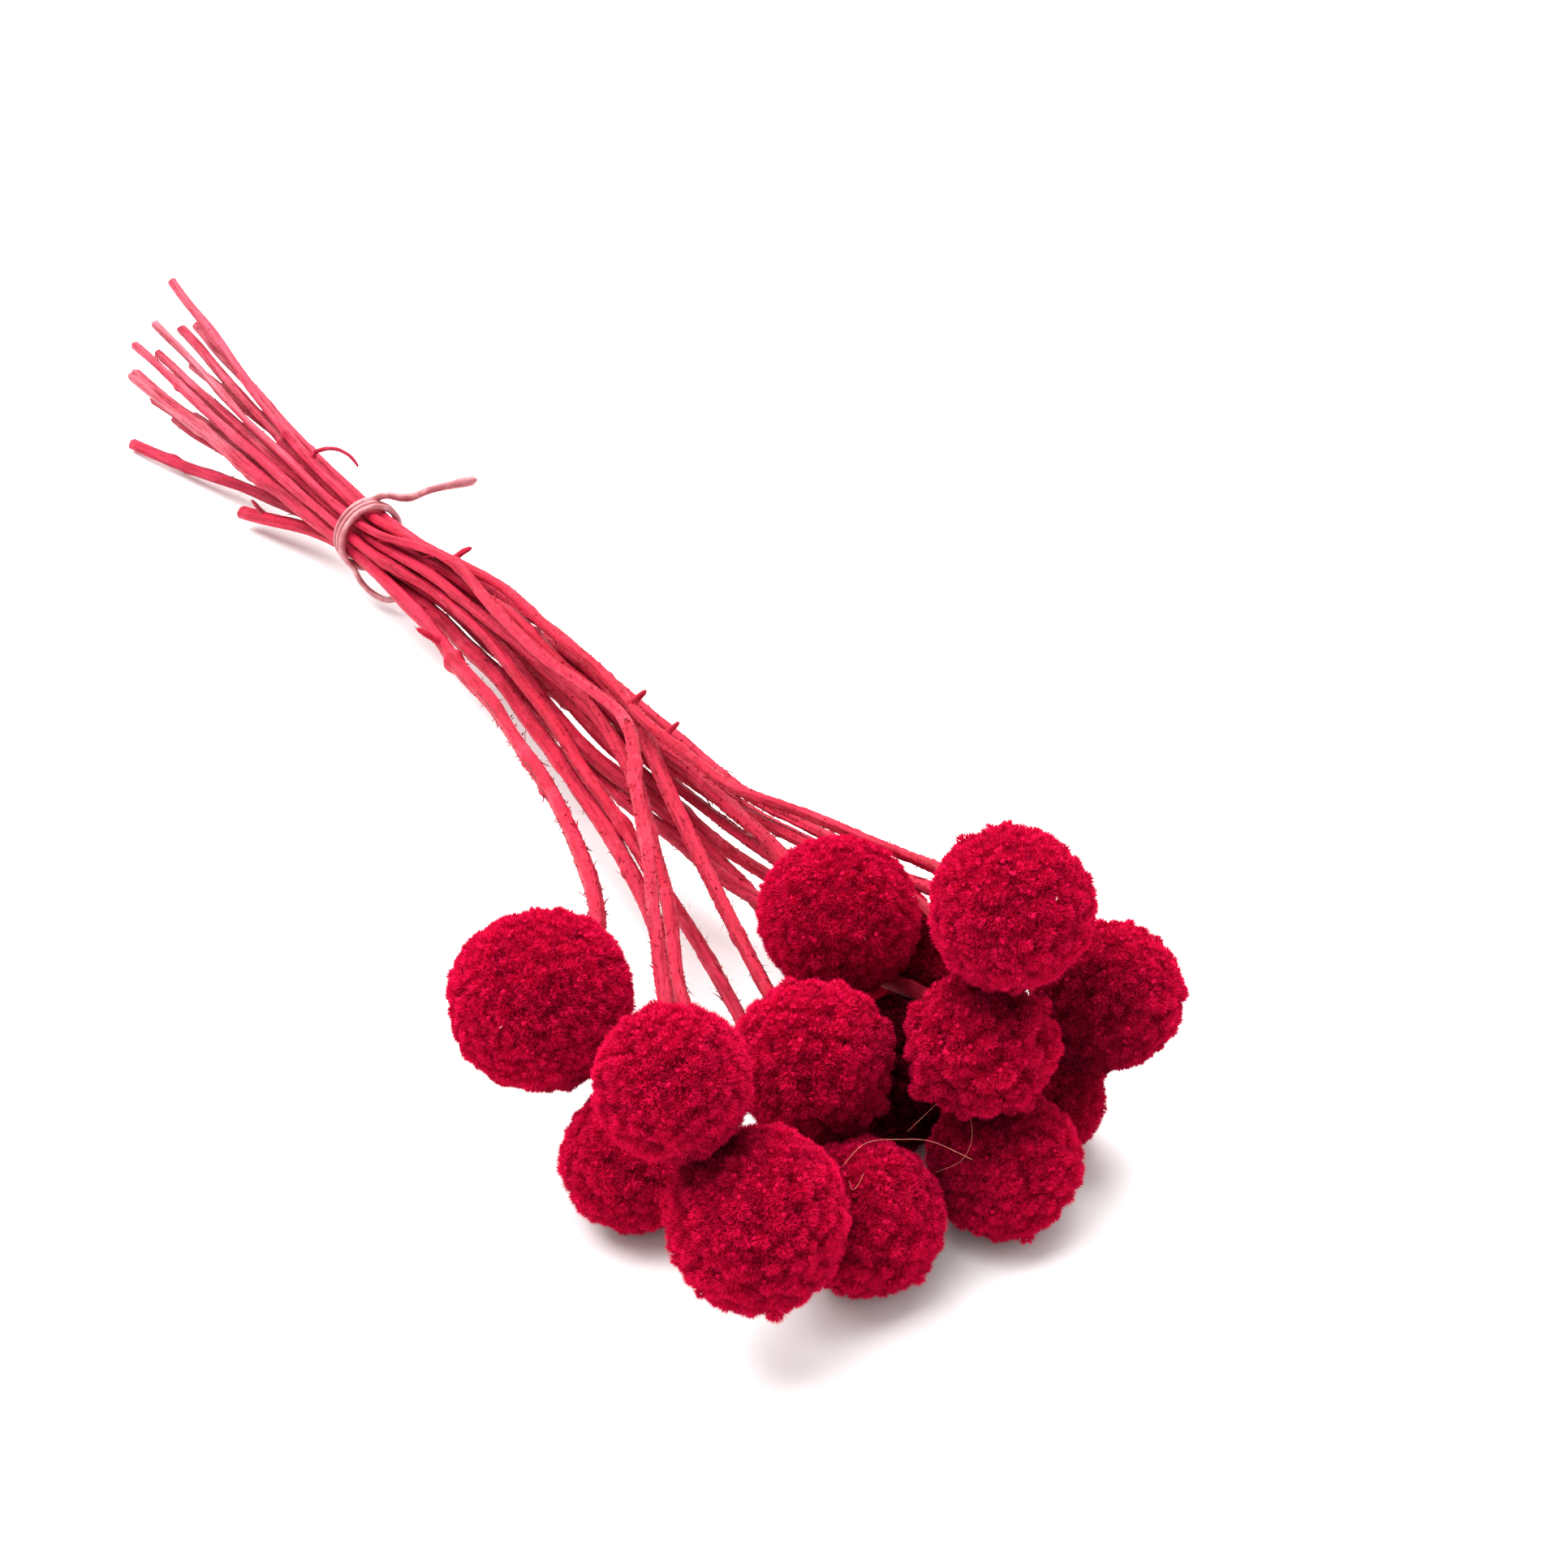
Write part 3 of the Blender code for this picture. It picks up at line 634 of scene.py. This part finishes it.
def stem_line(number):
    """Points and radii along a packed stem, from its cut end to the middle of its head.

    Each slice across Y is fitted with a circle, which is then corrected for the stem's slant.
    """
    name = f"flower_{number:02d}_stem"
    corners = node_corners(name)
    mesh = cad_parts[name].data
    edges = np.empty(len(mesh.edges) * 2, int)
    mesh.edges.foreach_get("vertices", edges)
    start, end = corners[edges.reshape(-1, 2)].transpose(1, 0, 2)
    centre, ball = head_ball(number)
    cut = corners[corners[:, 1] > corners[:, 1].max() - 1.0].mean(0)
    points, radii = [cut], []
    for y in np.arange(cut[1] - 4.0, centre[1] + 0.6 * ball, -SLICE_STEP):
        crossing = (start[:, 1] - y) * (end[:, 1] - y) < 0
        here, there = start[crossing], end[crossing]
        share = (y - here[:, 1]) / (there[:, 1] - here[:, 1])
        x, _, z = (here + (there - here) * share[:, None]).T
        rows = np.column_stack([x, z, np.ones(len(x))])
        fit = np.linalg.lstsq(rows, x**2 + z**2, rcond=None)[0]
        points.append((fit[0] / 2, y, fit[1] / 2))
        radii.append(math.sqrt(fit[2] + (fit[0] ** 2 + fit[1] ** 2) / 4))
    points.append(centre)
    radii = np.array([radii[0], *radii, radii[-1]])
    slant = unit(np.gradient(np.array(points), axis=0))[:, 1]
    radii *= np.sqrt(np.abs(slant))
    travelled = np.concatenate([[0], np.cumsum(np.linalg.norm(np.diff(points, axis=0), axis=1))])
    line = evenly_spaced(points, STALK_STEP)
    along = np.linspace(0, travelled[-1], len(line))
    reach = SMOOTHING / STALK_STEP
    return rounded(line, reach), rounded(np.interp(along, travelled, radii), reach)


# ---------------------------------------------------------------- heads


def spiral_ball(count, pole, rng):
    """Evenly spread directions. The spiral's far pole points along the stem."""
    k = np.arange(count) + 0.5
    z = 1 - 2 * k / count
    ring = np.sqrt(1 - z**2)
    angle = k * GOLDEN_ANGLE + rng.uniform(0, TAU)
    local = np.column_stack([ring * np.cos(angle), ring * np.sin(angle), z])
    turn = Vector((0, 0, -1)).rotation_difference(Vector(pole)).to_matrix()
    return local @ np.array(turn).T


def floret_cup():
    """One floret, as wide and as tall as 1: a closed five-lobed cup that narrows to its foot."""
    vertices, growth = [], []
    ring = 2 * FLORET_LOBES
    for k in range(ring):
        reach, height, age = (0.50, 0.95, 1.0) if k % 2 == 0 else (0.31, 0.70, 0.75)
        angle = TAU * k / ring
        vertices.append((reach * math.cos(angle), reach * math.sin(angle), height))
        growth.append(age)
    vertices += [(0.0, 0.0, 0.76), (0.0, 0.0, 0.0)]
    growth += [0.8, 0.0]
    faces = []
    for k in range(ring):
        after = (k + 1) % ring
        faces += [(k, after, ring), (after, k, ring + 1)]
    return np.array(vertices), np.array(faces), np.array(growth)


def across_from(directions, rng):
    """Two random directions square to each of these and to each other."""
    guess = unit(rng.normal(size=directions.shape))
    side = unit(np.cross(directions, guess))
    return side, np.cross(directions, side)


class Tufts:
    """How the surface of a head rises, leans and changes colour from tuft to tuft."""

    def __init__(self, look, radius, rng):
        self.look = look
        self.radius = radius
        area = 4 * math.pi * radius**2
        middles = spiral_ball(int(area / (CELL_AREA * look.pitch**2)), unit(rng.normal(size=3)), rng)
        self.middles = unit(middles + rng.normal(size=middles.shape) * STRAY * look.pitch / radius)
        self.heights = rng.normal(size=len(middles)) * TUFT_UNEVEN
        self.tints = rng.uniform(size=len(middles))
        self.lump_seed = rng.integers(1_000_000)

    def lumpy(self, directions):
        """The unevenness of the whole ball, as a factor of its radius. The same at every call."""
        rng = np.random.default_rng(self.lump_seed)
        return 1 + self.look.lumps * ball_waves(rng, LUMP_WAVES, LUMP_TIGHTNESS, directions)

    def at(self, directions):
        """Height over the ball in millimetres, the same as a share of the relief, lean, and tint."""
        owner = np.argmax(directions @ self.middles.T, axis=1)
        offset = (directions - self.middles[owner]) * self.radius / (TUFT_REACH * self.look.pitch)
        depth = TUFT_TOP - np.clip((offset**2).sum(1), 0, 1.5) + self.heights[owner]
        lean = directions + TUFT_SPLAY * offset
        return self.look.relief * depth, depth, lean, self.tints[owner]


def painted_gap_shade(number, points, reach):
    """Painted shade for each point of a head: how closed in it is by the other heads, 1 where they touch,
    0 in the open.
    """
    closed = np.zeros(len(points))
    for other in range(1, FLOWER_COUNT + 1):
        if other != number:
            middle, radius = head_ball(other)
            gap = np.linalg.norm(points - middle, axis=1) - radius
            closed = 1 - (1 - closed) * (1 - np.exp(-np.maximum(gap, 0) / reach))
    return closed


def make_head(number, materials):
    """A pompom: a core, cup florets that lean out in tufts, and fine fuzz over them."""
    rng = np.random.default_rng(100 + number)
    look = HEAD_LOOKS.get(number, HeadLook())
    centre, radius = head_ball(number)
    radius += look.grown
    line, _ = stem_lines[number]
    stem_way = unit(line[-round(radius * PAST_HEAD / STALK_STEP)] - centre)
    tufts = Tufts(look, radius, rng)
    parts = [
        head_florets(centre, radius, tufts, stem_way, rng),
        head_core(centre, radius - CORE_DEPTH, tufts),
        head_fuzz(centre, radius, tufts, stem_way, rng),
    ]
    # painted shade: each head's dye is darkened where other heads come near
    for part in parts:
        part.values["closed"] = painted_gap_shade(number, part.vertices, look.reach)
    if number in PALE_CHAFF:
        parts.append(head_chaff(centre, radius, PALE_CHAFF[number], stem_way, rng))
    name = f"flower_{number:02d}"
    return build_piece(name + "_pompom", parts, materials, [name + "_head"])


def head_florets(centre, radius, tufts, stem_way, rng):
    """The five-lobed cups, one for each place in an even packing, apart from the stem's own place."""
    area = 4 * math.pi * radius**2
    directions = spiral_ball(int(area / (CELL_AREA * FLORET_PITCH**2)), stem_way, rng)
    directions = unit(directions + rng.normal(size=directions.shape) * STRAY * FLORET_PITCH / radius)
    from_stem = np.arccos(np.clip(directions @ stem_way, -1, 1)) * radius
    directions = directions[from_stem > FLORET_STEM_GAP]
    height, depth, lean, tuft_tint = tufts.at(directions)
    lean = unit(lean + rng.normal(size=lean.shape) * 0.25)
    count = len(directions)
    length = FLORET_LENGTH * rng.uniform(0.7, 1.3, count)
    foot = (radius - FLORET_LENGTH) * tufts.lumpy(directions) + height
    feet = centre + directions * foot[:, None]
    cup, cup_faces, cup_growth = floret_cup()
    side, other = across_from(lean, rng)
    width = FLORET_PITCH * rng.uniform(0.6, 1.0, count)
    ragged = rng.uniform(0.78, 1.12, (count, len(cup)))
    vertices = (
        feet[:, None]
        + side[:, None] * (cup[:, 0] * width[:, None])[..., None]
        + other[:, None] * (cup[:, 1] * width[:, None])[..., None]
        + lean[:, None] * (cup[:, 2] * length[:, None] * ragged)[..., None]
    )
    faces = (np.arange(count) * len(cup))[:, None, None] + cup_faces
    tint = 0.6 * tuft_tint + 0.4 * rng.uniform(size=count)
    values = {
        "growth": np.tile(cup_growth, count),
        "depth": np.repeat(depth, len(cup)),
        "tint": np.repeat(tint, len(cup)),
    }
    return Part(vertices, faces.reshape(-1, 3), values)


def head_core(centre, radius, tufts):
    """The closed ball that the florets stand in, raised under each tuft."""
    bm = bmesh.new()
    bmesh.ops.create_icosphere(bm, subdivisions=CORE_SUBDIVISIONS, radius=1.0)
    directions = unit(np.array([vert.co for vert in bm.verts]))
    faces = [[vert.index for vert in face.verts] for face in bm.faces]
    bm.free()
    distance = radius * tufts.lumpy(directions) + tufts.at(directions)[0]
    return Part(centre + directions * distance[:, None], faces, {}, 1)


def head_fuzz(centre, radius, tufts, stem_way, rng):
    """Petal tips and hairs, each one thin three-sided blade, that soften the florets."""
    count = int(4 * math.pi * radius**2 * FUZZ_PER_AREA)
    directions = unit(rng.normal(size=(count, 3)))
    directions = directions[directions @ stem_way < math.cos(FUZZ_STEM_GAP / radius)]
    count = len(directions)
    height, depth, lean, tuft_tint = tufts.at(directions)
    length = rng.uniform(*FUZZ_LENGTHS, count) + FUZZ_STRAY_LENGTH * rng.uniform(size=count) ** 6
    foot = (radius + FUZZ_OVER_BALL) * tufts.lumpy(directions) + height - FUZZ_BURIED * length
    ways = unit(lean + rng.normal(size=lean.shape) * 0.45)
    side, _ = across_from(ways, rng)
    feet = centre + directions * foot[:, None]
    half = side * rng.uniform(*FUZZ_HALF_WIDTHS, count)[:, None]
    vertices = np.stack([feet - half, feet + half, feet + ways * length[:, None]], 1)
    faces = np.arange(3 * count).reshape(-1, 3)
    values = {
        "growth": np.tile((0.55, 0.55, 1.0), count),
        "depth": np.repeat(depth, 3),
        "tint": np.repeat(0.5 * tuft_tint + 0.5 * rng.uniform(size=count), 3),
    }
    return Part(vertices, faces, values)


def head_chaff(centre, radius, count, stem_way, rng):
    """Pale dry flakes caught in the florets, most of them near the stem."""
    directions = unit(rng.normal(size=(count, 3)) + stem_way * 0.9 + np.array((-0.3, -0.6, 0.9)))
    feet = centre + directions * (radius + 0.1)
    flat, _ = across_from(directions, rng)
    length = rng.uniform(0.5, 1.3, count)
    width = rng.uniform(0.2, 0.4, count)
    return blades(feet, unit(flat + directions * 0.25), directions * 0.3, length, width, {}, 2)


# ---------------------------------------------------------------- stalks


def smooth_step(value, low, high):
    """0 up to low, 1 from high on, and an even S between them."""
    t = np.clip((value - low) / (high - low), 0, 1)
    return t * t * (3 - 2 * t)


def stalk_relief(angle, along, rough, rng):
    """The radius of a stalk at each point of its skin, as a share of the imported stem's."""
    turn = rng.uniform(0, TAU) + rng.uniform(-0.02, 0.02) * along
    swell = 1 + 0.06 * waves(rng, 6, (0, 0), 0.30, 0.0, along)
    for joint in rng.uniform(JOINT_FROM_CUT, along[-1, 0] - JOINT_FROM_HEAD, STALK_JOINTS):
        near = (along - joint) / rng.uniform(0.8, 2.4)
        bulge = rng.uniform(0.08, 0.26) * np.exp(-(near**2))
        swell = swell + bulge * (1 + 0.8 * np.cos(angle - rng.uniform(0, TAU)))
    flat = 0.12 + 0.05 * waves(rng, 4, (0, 0), 0.08, 0.0, along)
    uneven = 1 + 0.6 * waves(rng, 6, (0, 2), 0.12, angle, along)
    ridges = 0.060 * np.cos(rng.integers(5, 8) * (angle + 0.4 * turn)) * uneven
    fibres = 0.032 * waves(rng, 22, (5, 11), 0.45, angle, along)
    pits = (0.018 + 0.034 * rough) * waves(rng, 30, (0, 9), 3.4, angle, along)
    return swell + flat * np.cos(2 * (angle - turn)) + ridges + fibres + pits


def make_stalk(number, materials):
    """A stem: flattened, ridged along its length, swollen at its joints, with barbs and shreds."""
    rng = np.random.default_rng(500 + number)
    line, packed_radii = stem_lines[number]
    distance = np.arange(len(line)) * STALK_STEP
    wander = np.column_stack([waves(rng, 6, (0, 0), 0.20, 0.0, distance) for _ in range(3)])
    free = smooth_step(np.abs(line[:, 1] - BAND_CENTRE.y), 6, 40)
    ends = smooth_step(distance[-1] - distance, 0, 18)
    line = line + wander * (STALK_WANDER * free * ends)[:, None]
    angle = (np.arange(STALK_SIDES) * TAU / STALK_SIDES)[None, :]
    along = distance[:, None]
    rough = smooth_step(-line[:, 1], 0, ROUGH_REACH)[:, None]
    radii = packed_radii[:, None] * STALK_FULLNESS * stalk_relief(angle, along, rough, rng)
    bleached = 0.35 + 0.65 * smooth_step(line[0, 2], 2.0, 16.0)
    fade = smooth_step(line[:, 1], PALE_FROM, PALE_TO)[:, None] * bleached * rng.uniform(0.8, 1.05)
    fade = np.clip(fade + 0.12 * waves(rng, 9, (0, 2), 0.25, angle, along), 0, 1)
    rosy = np.clip(rng.uniform(0.0, 0.7) + 0.4 * waves(rng, 5, (0, 1), 0.06, angle, along), 0, 1)
    grain = np.stack(
        np.broadcast_arrays(np.cos(angle), np.sin(angle), along * 0.05 + number * 3.0), -1
    )
    values = {"grain": grain, "fade": fade, "rosy": rosy}
    body, caps = tube(line, radii, STALK_SIDES, values, hollow=CUT_HOLLOW)
    caps.material = 1
    barbs = stalk_barbs(line, packed_radii * STALK_FULLNESS, fade.mean(1), rng)
    name = f"flower_{number:02d}"
    return build_piece(name + "_stalk", [body, caps, *barbs], materials, [name + "_stem"])


def stalk_barbs(line, radii, fade, rng):
    """Hairs, barbs and lifted shreds of skin, most of them near the head."""
    out = []
    tangents, sides, normals = carried_frames(line)
    share = smooth_step(-line[:, 1], -60, 90) + 0.12
    share[-12:] = 0  # none inside the head
    share /= share.sum()
    for many, lengths, widths, lean in BARBS:
        index = rng.choice(len(line), many, p=share)
        angle = rng.uniform(0, TAU, many)
        out_way = sides[index] * np.cos(angle)[:, None] + normals[index] * np.sin(angle)[:, None]
        feet = line[index] + out_way * (radii[index] * 0.93)[:, None]
        along = tangents[index] * rng.choice((-1, 1), many)[:, None]
        ways = unit(along + out_way * (lean * rng.uniform(0.5, 1.4, many))[:, None])
        length = rng.uniform(*lengths, many)
        width = rng.uniform(*widths, many)
        values = {
            "grain": np.column_stack([np.cos(angle), np.sin(angle), index * 0.04]),
            "fade": np.clip(fade[index] + rng.uniform(0, 0.25, many), 0, 1),
            "rosy": rng.uniform(0, 0.6, many),
        }
        out.append(blades(feet, ways, out_way * 0.5, length, width, values))
    return out


# ---------------------------------------------------------------- small pieces


def nearest_stalk(point):
    """The point nearest to this one on the middle line of any stalk."""
    closest, least = None, math.inf
    for line, _ in stem_lines.values():
        gaps = np.linalg.norm(line - point, axis=1)
        index = int(np.argmin(gaps))
        if gaps[index] < least:
            closest, least = line[index], gaps[index]
    return closest


def make_leaf_stub(number, materials):
    """What is left of a stripped leaf: a ribbed spike, torn at its end, that grows from its stalk."""
    rng = np.random.default_rng(900 + number)
    name = f"leaf_stub_{number}"
    corners = node_corners(name)
    middle = nearest_stalk(corners.mean(0))
    gaps = np.linalg.norm(corners - middle, axis=1)
    tip = corners[np.argmax(gaps)]
    foot_corners = corners[gaps < np.quantile(gaps, STUB_FOOT_SHARE)]
    foot = foot_corners.mean(0)
    base = np.linalg.norm(foot_corners - foot, axis=1).max()
    root = middle + (foot - middle) * 0.3 - unit(tip - foot) * 0.6
    bow = unit(foot - middle) * 0.10 * np.linalg.norm(tip - foot)
    line = curve_through([root, (root + tip) / 2 + bow, tip], STUB_STEP)
    share = np.linspace(0, 1, len(line))[:, None]
    angle = (np.arange(STUB_SIDES) * TAU / STUB_SIDES)[None, :]
    along = share * np.linalg.norm(tip - root)
    taper = np.interp(share, (0, 0.2, 0.4, 0.7, 0.93, 1), (1.15, 0.85, 0.62, 0.55, 0.40, 0.12))
    ribs = 0.14 * np.cos(2 * angle) + 0.07 * waves(rng, 12, (2, 5), 1.5, angle, along)
    radii = base * taper * (1 + ribs)
    grain = np.stack(np.broadcast_arrays(np.cos(angle), np.sin(angle), along * 0.1 + number), -1)
    ones = np.ones_like(radii)
    fade = np.clip(smooth_step(middle[1], PALE_FROM, PALE_TO) + 0.1, 0, 1)
    values = {"grain": grain, "fade": ones * fade, "rosy": 0.25 * ones}
    parts = list(tube(line, radii, STUB_SIDES, values))
    pick = rng.integers(len(line) // 3, len(line), STUB_HAIRS)
    out_way = unit(rng.normal(size=(STUB_HAIRS, 3)))
    ways = unit(unit(tip - foot) + out_way * 0.7)
    feet = line[pick] + out_way * (radii.mean(1)[pick] * 0.8)[:, None]
    hair_values = {
        "grain": rng.normal(size=(STUB_HAIRS, 3)),
        "fade": np.full(STUB_HAIRS, fade),
        "rosy": np.full(STUB_HAIRS, 0.4),
    }
    length = rng.uniform(0.3, 0.9, STUB_HAIRS)
    width = rng.uniform(0.08, 0.16, STUB_HAIRS)
    parts.append(blades(feet, ways, out_way * 0.4, length, width, hair_values))
    return build_piece(name + "_spike", parts, materials, [name])


def make_shoot(materials):
    """The thin shoot that curls over behind the band. It grows from its stalk and tapers."""
    rng = np.random.default_rng(950)
    corners = node_corners("curled_shoot")
    top, bottom = corners[:, 1].max(), corners[:, 1].min()
    spine = []
    for y in np.linspace(top - 0.4, bottom + 0.4, SHOOT_SLICES):
        near = corners[np.abs(corners[:, 1] - y) < 1.0]
        spine.append(near.mean(0))
    middle = nearest_stalk(spine[0])
    line = curve_through([middle, *spine], SHOOT_STEP)
    share = np.linspace(0, 1, len(line))[:, None]
    angle = (np.arange(STUB_SIDES) * TAU / STUB_SIDES)[None, :]
    along = share * SHOOT_LENGTH
    radii = np.interp(share, (0, 0.15, 0.9, 1), (0.75, 0.5, 0.34, 0.26))
    radii = radii * (1 + 0.10 * waves(rng, 12, (1, 4), 1.5, angle, along))
    grain = np.stack(np.broadcast_arrays(np.cos(angle), np.sin(angle), along * 0.1), -1)
    ones = np.ones_like(radii)
    values = {"grain": grain, "fade": 0.45 * ones, "rosy": 0.9 * ones}
    parts = tube(line, radii, STUB_SIDES, values)
    return build_piece("curled_shoot_curl", parts, materials, ["curled_shoot"])


def band_line():
    """The band's route, from the tip of its tail, round the stems, to the end of its slack loop."""
    wound = []
    for share in np.linspace(0, 1, BAND_WOUND_POINTS):
        angle = BAND_START + TAU * BAND_TURNS * share
        x = BAND_RING_RADIUS * math.cos(angle)
        y = BAND_TILT * x + BAND_PITCH * BAND_TURNS * (0.5 - share)
        wound.append(BAND_CENTRE + Vector((x, y, BAND_RING_RADIUS * math.sin(angle))))
    tail = curve_through([*BAND_TAIL, wound[0]], BAND_STEP)
    loop = curve_through([wound[-1], *BAND_LOOP], BAND_STEP)
    return evenly_spaced([*tail[:-1], *wound, *loop[1:]], BAND_STEP)


def make_band(materials):
    """The elastic: a lumpy tail, turns stretched flat round the stems, and a slack loop below."""
    rng = np.random.default_rng(970)
    line = rounded(band_line(), 1.5)
    distance = (np.arange(len(line)) * BAND_STEP)[:, None]
    angle = (np.arange(BAND_SIDES) * TAU / BAND_SIDES)[None, :]
    free = 1 - smooth_step(distance, BAND_TAIL_END - 8, BAND_TAIL_END)
    knob = np.exp(-(((distance - 2.6) / 2.6) ** 2)) * 0.50
    lump = np.exp(-(((distance - 17.0) / 1.8) ** 2)) * 0.28
    round_tip = np.sqrt(np.clip(distance / 1.1, 0.02, 1))
    size = BAND_RADIUS + free * (0.14 + knob + lump)
    ripple = 0.05 * waves(rng, 14, (0, 4), 1.6, angle, distance)
    strands = 0.10 * np.cos(2 * (angle - 0.22 * distance))
    radii = size * round_tip * (1 + ripple + strands)
    grain = np.stack(np.broadcast_arrays(np.cos(angle), np.sin(angle), distance * 0.25), -1)
    parts = tube(line, radii, BAND_SIDES, {"grain": grain})
    return build_piece("elastic_band_rubber", parts, materials, ["elastic_band"])


def make_threads(materials):
    """Loose fibres that lie in long arcs over the two low heads in front."""
    back, right, up = camera_axes()
    axes = np.array((right, up, back))
    parts = []
    for head, route in THREADS:
        centre, radius = head_ball(head)
        points = [centre + radius * (np.array(point) @ axes) for point in route]
        line = curve_through(points, THREAD_STEP)
        parts += tube(line, np.full(len(line), THREAD_RADIUS), THREAD_SIDES)
    return build_piece("loose_threads", parts, materials, [])


# ---------------------------------------------------------------- stage


def make_floor():
    """A broad pale table."""
    mesh = bpy.data.meshes.new("table")
    half = TABLE_HALF
    corners = [(-half, -half, 0), (half, -half, 0), (half, half, 0), (-half, half, 0)]
    mesh.from_pydata(corners, [], [(0, 1, 2, 3)])
    table = bpy.data.objects.new("table", mesh)
    bpy.context.scene.collection.objects.link(table)
    look = Look("white_table", Specular_IOR_Level=0.2)
    paper = look.noise(look.place(), 60.0, detail=5.0)
    look.colour(look.ramp(paper, (0.3, (0.86, 0.855, 0.855)), (0.7, (0.88, 0.876, 0.876))))
    look.roughness(look.between(paper, 0.3, 0.7, 0.75, 0.85))
    mesh.materials.append(look.material)


def make_light(name, target, way, distance, size, watts):
    """A soft square light that looks at the target."""
    data = bpy.data.lights.new(name, "AREA")
    data.size = size
    data.energy = watts
    lamp = bpy.data.objects.new(name, data)
    way = Vector(way).normalized()
    lamp.location = Vector(target) + way * distance
    lamp.rotation_euler = way.to_track_quat("Z", "Y").to_euler()
    bpy.context.scene.collection.objects.link(lamp)


def make_world(strength):
    """Even light from all round, very slightly rosy."""
    world = bpy.data.worlds.new("studio")
    world.use_nodes = True
    sky = world.node_tree.nodes["Background"]
    sky.inputs["Color"].default_value = (1.0, 0.995, 0.995, 1.0)
    sky.inputs["Strength"].default_value = strength
    bpy.context.scene.world = world


def camera_axes():
    """The camera's back, right and up directions."""
    a, e = CAMERA_AZIMUTH, CAMERA_ELEVATION
    back = Vector((math.sin(a) * math.cos(e), -math.cos(a) * math.cos(e), math.sin(e)))
    right = Vector((math.cos(a), math.sin(a), 0.0))
    return back, right, back.cross(right)


def make_camera():
    """The camera stands in front of the heads, to the left, and looks down along the bunch."""
    data = bpy.data.cameras.new("camera")
    data.sensor_width = CAMERA_SENSOR
    data.lens = CAMERA_LENS
    data.clip_start = CAMERA_NEAR
    data.clip_end = CAMERA_FAR
    camera = bpy.data.objects.new("camera", data)
    back, right, up = camera_axes()
    turn = Matrix((right, up, back)).transposed().to_4x4()
    camera.matrix_world = Matrix.Translation(CAMERA_PLACE * MM) @ turn
    bpy.context.scene.collection.objects.link(camera)
    bpy.context.scene.camera = camera


# ---------------------------------------------------------------- the scene

make_camera()
make_floor()
make_world(WORLD_STRENGTH)
make_light("key", KEY_TARGET, KEY_WAY, KEY_DISTANCE, KEY_SIZE, KEY_WATTS)
bpy.context.scene.view_settings.view_transform = "Standard"

head_materials = [floret_look(), core_look(), chaff_look()]
stalk_materials = [stalk_look(), pith_look()]
stem_lines = {number: stem_line(number) for number in range(1, FLOWER_COUNT + 1)}
for flower in range(1, FLOWER_COUNT + 1):
    make_head(flower, head_materials)
    make_stalk(flower, stalk_materials)
for stub in range(1, STUB_COUNT + 1):
    make_leaf_stub(stub, stalk_materials)
make_shoot(stalk_materials)
make_band([rubber_look()])
make_threads([thread_look()])
